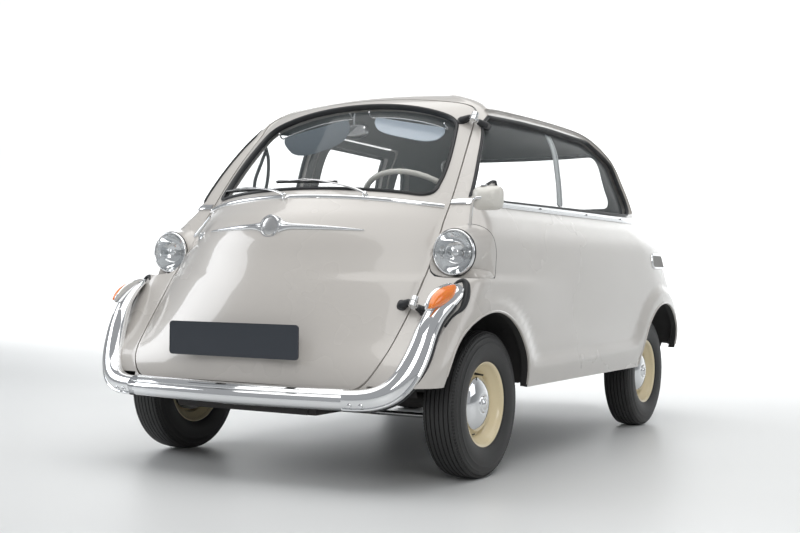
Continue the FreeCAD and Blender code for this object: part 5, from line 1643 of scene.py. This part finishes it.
def visor(side, slope, inner, outer):
    """A flat tinted blade with rounded corners on a wire at its upper edge."""
    flat = [(inner, 0.0), (inner + side * 0.01, 0.038), (inner + side * 0.05, 0.082),
            (inner + side * 0.12, 0.104), (outer - side * 0.08, 0.106), (outer - side * 0.02, 0.080),
            (outer, 0.030), (outer - side * 0.01, 0.0)]
    line = curve_through([(x, 0, d) for x, d in flat], 60)
    lean = Vector((0, math.cos(slope), -math.sin(slope)))
    rings = []
    for thick in (-0.0022, 0.0022):
        rings.append([over_screen(p.x) - DOOR_OUT * VISOR_UNDER + lean * p.z + DOOR_OUT * thick
                      for p in line])
    blade = smooth(rings_mesh("visor", rings, VISOR), 30)
    top = [over_screen(x) for x in np.linspace(inner - side * 0.02, outer, 9)]
    under = [p - DOOR_OUT * VISOR_UNDER for p in top]
    ends = [p - DOOR_OUT * 0.010 for p in (top[0], top[-1])]
    wire = tube("visor_wire", [ends[0], *under, ends[1]], 0.0028, CHROME, count=30)
    return [blade, wire]


visors = join("sun_visors", visor(1, math.radians(138), 0.055, 0.362)
              + visor(-1, math.radians(52), -0.072, -0.368))
inner_mirror_at = Vector((-0.072, -0.560, 1.222))
mirror_shell = soft_box("inner_mirror_shell", ((-0.012, 0.034, 0.017), (-0.009, 0.048, 0.027),
                                               (0.0, 0.055, 0.033), (0.008, 0.055, 0.033)),
                        inner_mirror_at, ALLOY, power=2.8)
inner_glass = soft_box("inner_mirror_glass", ((0.0078, 0.052, 0.030), (0.0088, 0.052, 0.030)),
                       inner_mirror_at, CHROME, power=2.8)
mirror_stalk = tube("mirror_stalk", [inner_mirror_at + Vector(reach) for reach in
                                     ((0, -0.008, 0.022), (0.002, -0.012, 0.045), (0.008, -0.016, 0.086))],
                    0.0040, CHROME, count=14)
inner_mirror = join("inner_mirror", [mirror_shell, inner_glass, mirror_stalk])
strap_line = [(-0.432, -0.645, 1.155), (-0.436, -0.672, 1.100), (-0.440, -0.705, 1.030),
              (-0.432, -0.715, 0.980), (-0.416, -0.705, 0.962), (-0.402, -0.690, 0.990),
              (-0.404, -0.670, 1.050), (-0.418, -0.650, 1.115)]
strap_end, strap_out = skin_tree.find_nearest(Vector(strap_line[0]))[:2]
strap = join("assist_strap", [
    tube("strap", strap_line + [strap_line[0]], 0.0065, RUBBER, count=60, flat=0.35),
    tube("strap_anchor", [strap_line[0], strap_end - strap_out * 0.008], 0.009, CHROME, count=4)])

# ---------------------------------------------------------------- seats

def cushion_shape(name, corners, half_x, material, round_by=0.030):
    """A crowned pad: a side outline (y, z) carried across, smaller and rounder towards each end."""
    points = [Vector((0, y, z)) for y, z in corners]
    centre = sum(points, Vector()) / len(points)
    outline = []
    for i, here in enumerate(points):
        back, ahead = points[i - 1] - here, points[(i + 1) % len(points)] - here
        reach = min(0.038, back.length * 0.45, ahead.length * 0.45)
        a, b = here + back.normalized() * reach, here + ahead.normalized() * reach
        outline += [a * (1 - t) ** 2 + here * (2 * t * (1 - t)) + b * t * t for t in np.linspace(0, 1, 7)]
    rings = []
    for t in np.linspace(-1, 1, 41):
        near = min((1 - abs(t)) * half_x / round_by, 1)
        shrink = round_by * (1 - math.sqrt(max(1 - (1 - near) ** 2, 0)))
        ring = []
        for p in outline:
            inward = centre - p
            ring.append(p + inward.normalized() * min(shrink, inward.length * 0.6) + LEFT * (t * half_x))
        rings.append(ring)
    return rings_mesh(name, rings, material)


def puffed(piece, cap, voxel=0.008, pressure=4.0):
    """The pad swollen by a short pressure simulation, no point moving more than the cap."""
    step = piece.modifiers.new("remesh", "REMESH")
    step.mode, step.voxel_size = "VOXEL", voxel
    baked(piece)
    before = np.array([v.co for v in piece.data.vertices])
    step = piece.modifiers.new("cloth", "CLOTH")
    step.settings.use_pressure = True
    step.settings.uniform_pressure_force = pressure
    step.settings.effector_weights.gravity = 0
    step.settings.quality = 4
    step.point_cache.frame_start, step.point_cache.frame_end = 1, 20
    for number in range(1, 21):
        bpy.context.scene.frame_set(number)
    baked(piece)
    after = np.array([v.co for v in piece.data.vertices])
    shift = after - before
    length = np.linalg.norm(shift, axis=1, keepdims=True)
    after = before + shift * np.minimum(1, cap / np.maximum(length, 1e-9))
    piece.data.vertices.foreach_set("co", after.ravel().astype(np.float32))
    bpy.context.scene.frame_set(1)
    step = piece.modifiers.new("finer", "SUBSURF")
    step.levels = step.render_levels = 1
    baked(piece)
    return piece


def channels(piece, centres, depth, facing, spread=0.006):
    """Sewn channels pressed into the face of a pad, running along its outline."""
    mesh = piece.data
    mesh.update()
    co = np.array([v.co for v in mesh.vertices])
    normals = np.array([v.normal for v in mesh.vertices])
    face = np.clip(normals @ np.array(facing) * 1.8 - 0.5, 0, 1)
    dip = np.zeros(len(co))
    for x in centres:
        dip = np.maximum(dip, np.exp(-((co[:, 0] - x) / spread) ** 2))
    co -= normals * (dip * depth * face)[:, None]
    mesh.vertices.foreach_set("co", co.ravel().astype(np.float32))
    mesh.update()
    return smooth(piece, 60)


def flutes(half):
    """The channels' places across a seat, 110 mm apart."""
    return [float(x) for x in np.arange(-half, half + 0.01, 0.11)]


CUSHION_FACING, BACK_FACING = (0, 0, 1), (0, -0.97, 0.2)
FRONT_HALF, REAR_HALF = 0.515, 0.358


def pad(name, corners, half_x, centres, cap, depth, facing):
    """One sewn pad from its side outline. Cap: how far the filling may swell it."""
    return channels(puffed(cushion_shape(name, corners, half_x, SEAT), cap), centres, depth, facing)


front_cushion = pad("front_cushion", ((-0.462, 0.392), (-0.070, 0.392), (-0.075, 0.480), (-0.462, 0.488)),
                    FRONT_HALF, flutes(0.44), 0.010, 0.007, CUSHION_FACING)
front_back = pad("front_back", ((-0.045, 0.430), (0.035, 0.420), (0.100, 0.838), (0.048, 0.850)), FRONT_HALF,
                 flutes(0.44), 0.008, 0.006, BACK_FACING)
front_base = soft_box("front_seat_base", ((0.0, 0.500, 0.0400), (0.400, 0.500, 0.0400)), (0, -0.450, 0.3455),
                      DARK, power=12)
rear_cushion = pad("rear_cushion", ((0.340, 0.380), (0.720, 0.370), (0.712, 0.455), (0.340, 0.474)),
                   REAR_HALF, flutes(0.275), 0.010, 0.007, CUSHION_FACING)
rear_back = pad("rear_back", ((0.738, 0.410), (0.842, 0.400), (0.876, 0.825), (0.808, 0.838)), REAR_HALF,
                flutes(0.275), 0.008, 0.006, BACK_FACING)
rear_base = soft_box("rear_seat_base", ((0.0, 0.340, 0.034), (0.400, 0.340, 0.034)), (0, 0.350, 0.3395), DARK,
                     power=12)


# ---------------------------------------------------------------- camera, floor and light

def area_light(name, place, aim, size, power, colour):
    data = bpy.data.lights.new(name, "AREA")
    data.shape, data.size, data.size_y = "RECTANGLE", *size
    data.energy, data.color = power, colour
    lamp = bpy.data.objects.new(name, data)
    lamp.location = place
    lamp.rotation_euler = (Vector(aim) - Vector(place)).to_track_quat("-Z", "Y").to_euler()
    bpy.context.scene.collection.objects.link(lamp)


def camera():
    data = bpy.data.cameras.new("camera")
    data.lens, data.sensor_width = 54.27, 36
    made = bpy.data.objects.new("camera", data)
    yaw, pitch, roll = math.radians(30.12), math.radians(0.36), math.radians(0.61)
    forward = Vector((-math.sin(yaw) * math.cos(pitch), math.cos(yaw) * math.cos(pitch), math.sin(pitch)))
    right = Vector((math.cos(yaw), math.sin(yaw), 0))
    top = right.cross(forward)
    level, rise = right * math.cos(roll) + top * math.sin(roll), top * math.cos(roll) - right * math.sin(roll)
    made.matrix_world = Matrix((level, rise, -forward)).transposed().to_4x4()
    made.location = (2.413, -4.489, 0.671)
    bpy.context.scene.collection.objects.link(made)
    bpy.context.scene.camera = made


def floor_piece():
    """A pale floor that curves up into a wall far behind."""
    profile = [(-70, 0)] + [(9 + 3 * math.sin(a), 3 - 3 * math.cos(a))
                            for a in np.linspace(0, math.pi / 2, 12)]
    profile += [(12, 9)]
    rings = [[(x, y, z) for y, z in profile] for x in (-90, 90)]
    count = len(profile)
    faces = [(j, j + 1, count + j + 1, count + j) for j in range(count - 1)]
    material = finish_of("pale_floor", (0.66, 0.67, 0.67), (0.61, 0.62, 0.62), 0.42, scale=0.6, fine=60.0,
                         bump=0.03)
    return smooth(mesh_of("floor", [p for ring in rings for p in ring], faces, material))


camera()
floor = floor_piece()
world = bpy.data.worlds.new("studio")
world.use_nodes = True
world.node_tree.nodes["Background"].inputs["Color"].default_value = (0.95, 0.97, 1.0, 1)
world.node_tree.nodes["Background"].inputs["Strength"].default_value = 0.42
bpy.context.scene.world = world
bpy.context.scene.view_settings.view_transform = "Standard"
# Columns: name, place, aim, size, power, colour.
LIGHTS = (("ceiling", (0.0, -0.5, 5.2), (0, 0, 0.6), (7, 6), 215, (1, 0.99, 0.97)),
          ("front", (3.2, -5.6, 3.4), (0, -0.4, 0.6), (2.2, 2.6), 85, (1, 0.99, 0.97)),
          ("left", (-5.5, -2.5, 3.2), (0, -0.5, 0.6), (3, 3), 95, (0.95, 0.97, 1)),
          ("right", (6.5, 1.5, 3.0), (0, 0.2, 0.6), (3, 3), 40, (0.97, 0.98, 1)),
          ("wall_left", (-10.5, 5.5, 6.5), (-10.5, 12, 2.0), (9, 2), 1300, (1, 1, 1)),
          ("wall_right", (-1.0, 5.5, 6.5), (-1.0, 12, 2.0), (9, 2), 1000, (1, 1, 1)))
for row in LIGHTS:
    area_light(*row)


# ---------------------------------------------------------------- shading read off the smooth skin

# How far a vertex may lie off the skin, and how alike a face and the skin must face.
OFF_SKIN, ALIKE = 0.0010, 0.8


def reshade(piece):
    """Corner normals taken from the smooth skin wherever the piece lies on it, so cuts leave no marks."""
    mesh, base = piece.data, body_solid.data
    grid = skin_normals.reshape(-1, 3)
    found = []
    for vertex in mesh.vertices:
        place, _, index, gap = skin_tree.find_nearest(vertex.co)
        corners = list(base.polygons[index].vertices)
        if gap > OFF_SKIN or max(corners) >= len(grid):
            found.append(None)
            continue
        shares = poly_3d_calc([base.vertices[i].co for i in corners], place)
        found.append(sum((Vector(grid[i]) * w for i, w in zip(corners, shares)), Vector()).normalized())
    normals = [corner.vector.copy() for corner in mesh.corner_normals]
    for face in mesh.polygons:
        for loop in face.loop_indices:
            skin = found[mesh.loops[loop].vertex_index]
            if skin is not None and skin.dot(face.normal) > ALIKE:
                normals[loop] = skin
    mesh.normals_split_custom_set(normals)


for piece in (body_skin, door_skin, side_door_skin, lid_skin):
    reshade(piece)

# ---------------------------------------------------------------- placing every piece on its body

drop(body_solid, inner_solid, door_block, door_hole, screen_hole, side_block, side_hole, door_window_hole,
     rear_hole, lid_block, lid_hole, side_glass_hole, right_glass_hole, right_front_hole, right_rear_hole,
     *arch_cutters, *front_under, tail_under, *pod_holes)
for other in list(bpy.data.objects):
    if other.type == "MESH" and other.name.split(".")[0] in ("ahead", "behind", "pane_in", "lamp_recess",
                                                             "lamp_recess_twin"):
        drop(other)
NODES = frame["nodes"]
# CAD nodes that are seen as they are, and what they are made of.
BARE = {"floor_pan": CARPET, "wheel_wells": DARK, "rear_bulkhead": CARPET, "chassis_frame": DARK,
        "front_axle_beam": DARK, "rear_swing_arms": DARK, "knuckle_left": DARK, "knuckle_right": DARK,
        "tie_rod": ALLOY, "engine_block": ENGINE, "silencer": EXHAUST, "dash_and_column": DASH}
for name, material in BARE.items():
    for place in NODES[name].material_slots:
        place.material = material

# Columns: piece, body it rides on, CAD nodes it stands for, material slot.
PLACED = (
    (body_skin, "car_body", ("body_shell", "cabin_shell"), "paint"),
    (door_skin, "front_door", ("front_door_panel",), "paint"),
    (side_door_skin, "side_door", ("side_door_panel",), "paint"),
    (lid_skin, "engine_lid", ("engine_lid",), "paint"),
    (windscreen, "front_door", ("windscreen",), "window_glass"),
    (left_pane, "car_body", ("side_glass_left",), "window_glass"),
    (right_panes, "car_body", ("side_glass_right",), "window_glass"),
    (door_pane, "side_door", ("side_door_glass",), "window_glass"),
    (rear_pane, "car_body", ("rear_window",), "window_glass"),
    (front_bar, "car_body", ("front_bumper",), "chrome"),
    (horns[0], "car_body", ("bumper_horns",), "chrome"),
    (indicator_lenses[0], "car_body", ("indicators",), "amber_lens"),
    (lamp_pods, "car_body", ("headlamp_pods",), "paint"),
    (lamp_rings, "car_body", ("headlamp_rings",), "chrome"),
    (lamp_glasses, "car_body", ("headlamp_lenses",), "lamp_glass"),
    (badge, "front_door", ("front_badge",), "chrome"),
    (plate, "front_door", ("number_plate",), "plate"),
    (door_mirror, "car_body", ("door_mirror",), "ivory_plastic"),
    (tail_lamps, "car_body", ("tail_lamps",), "red_lens"),
    (rear_bumper, "car_body", ("rear_bumper",), "chrome"),
    (steering_wheel, "steering_wheel", ("steering_wheel",), "ivory_plastic"),
    (front_cushion, "car_body", ("front_seat",), "seat_fabric"),
    (rear_cushion, "car_body", ("rear_seat",), "seat_fabric"),
) + tuple((piece, body, (label,), slot) for piece, body, label, slot in wheels)
for piece, body, nodes, slot in PLACED:
    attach(piece, body)
    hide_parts(*nodes)

RIDING = {
    "car_body": [left_gasket, rear_gasket, right_gaskets, *horn_trims, *indicator_beds, lamp_bowls, belt_left,
                 belt_right_front, belt_right_rear, belt_slots, *bolts, fixed_hinges, arch_flanges, vents,
                 exhaust, drip_rails, pane_edges, strap, front_back, front_base, rear_back, rear_base],
    "front_door": [screen_gasket, screen_strip, wipers, front_hinges, front_handle, dash_trims, visors,
                   inner_mirror],
    "side_door": [door_window_gasket, belt_door, side_hinges, side_handle],
    "engine_lid": [lid_hinges, lid_handle, lid_louvres],
}
for body, pieces in RIDING.items():
    for piece in pieces:
        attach(piece, body)
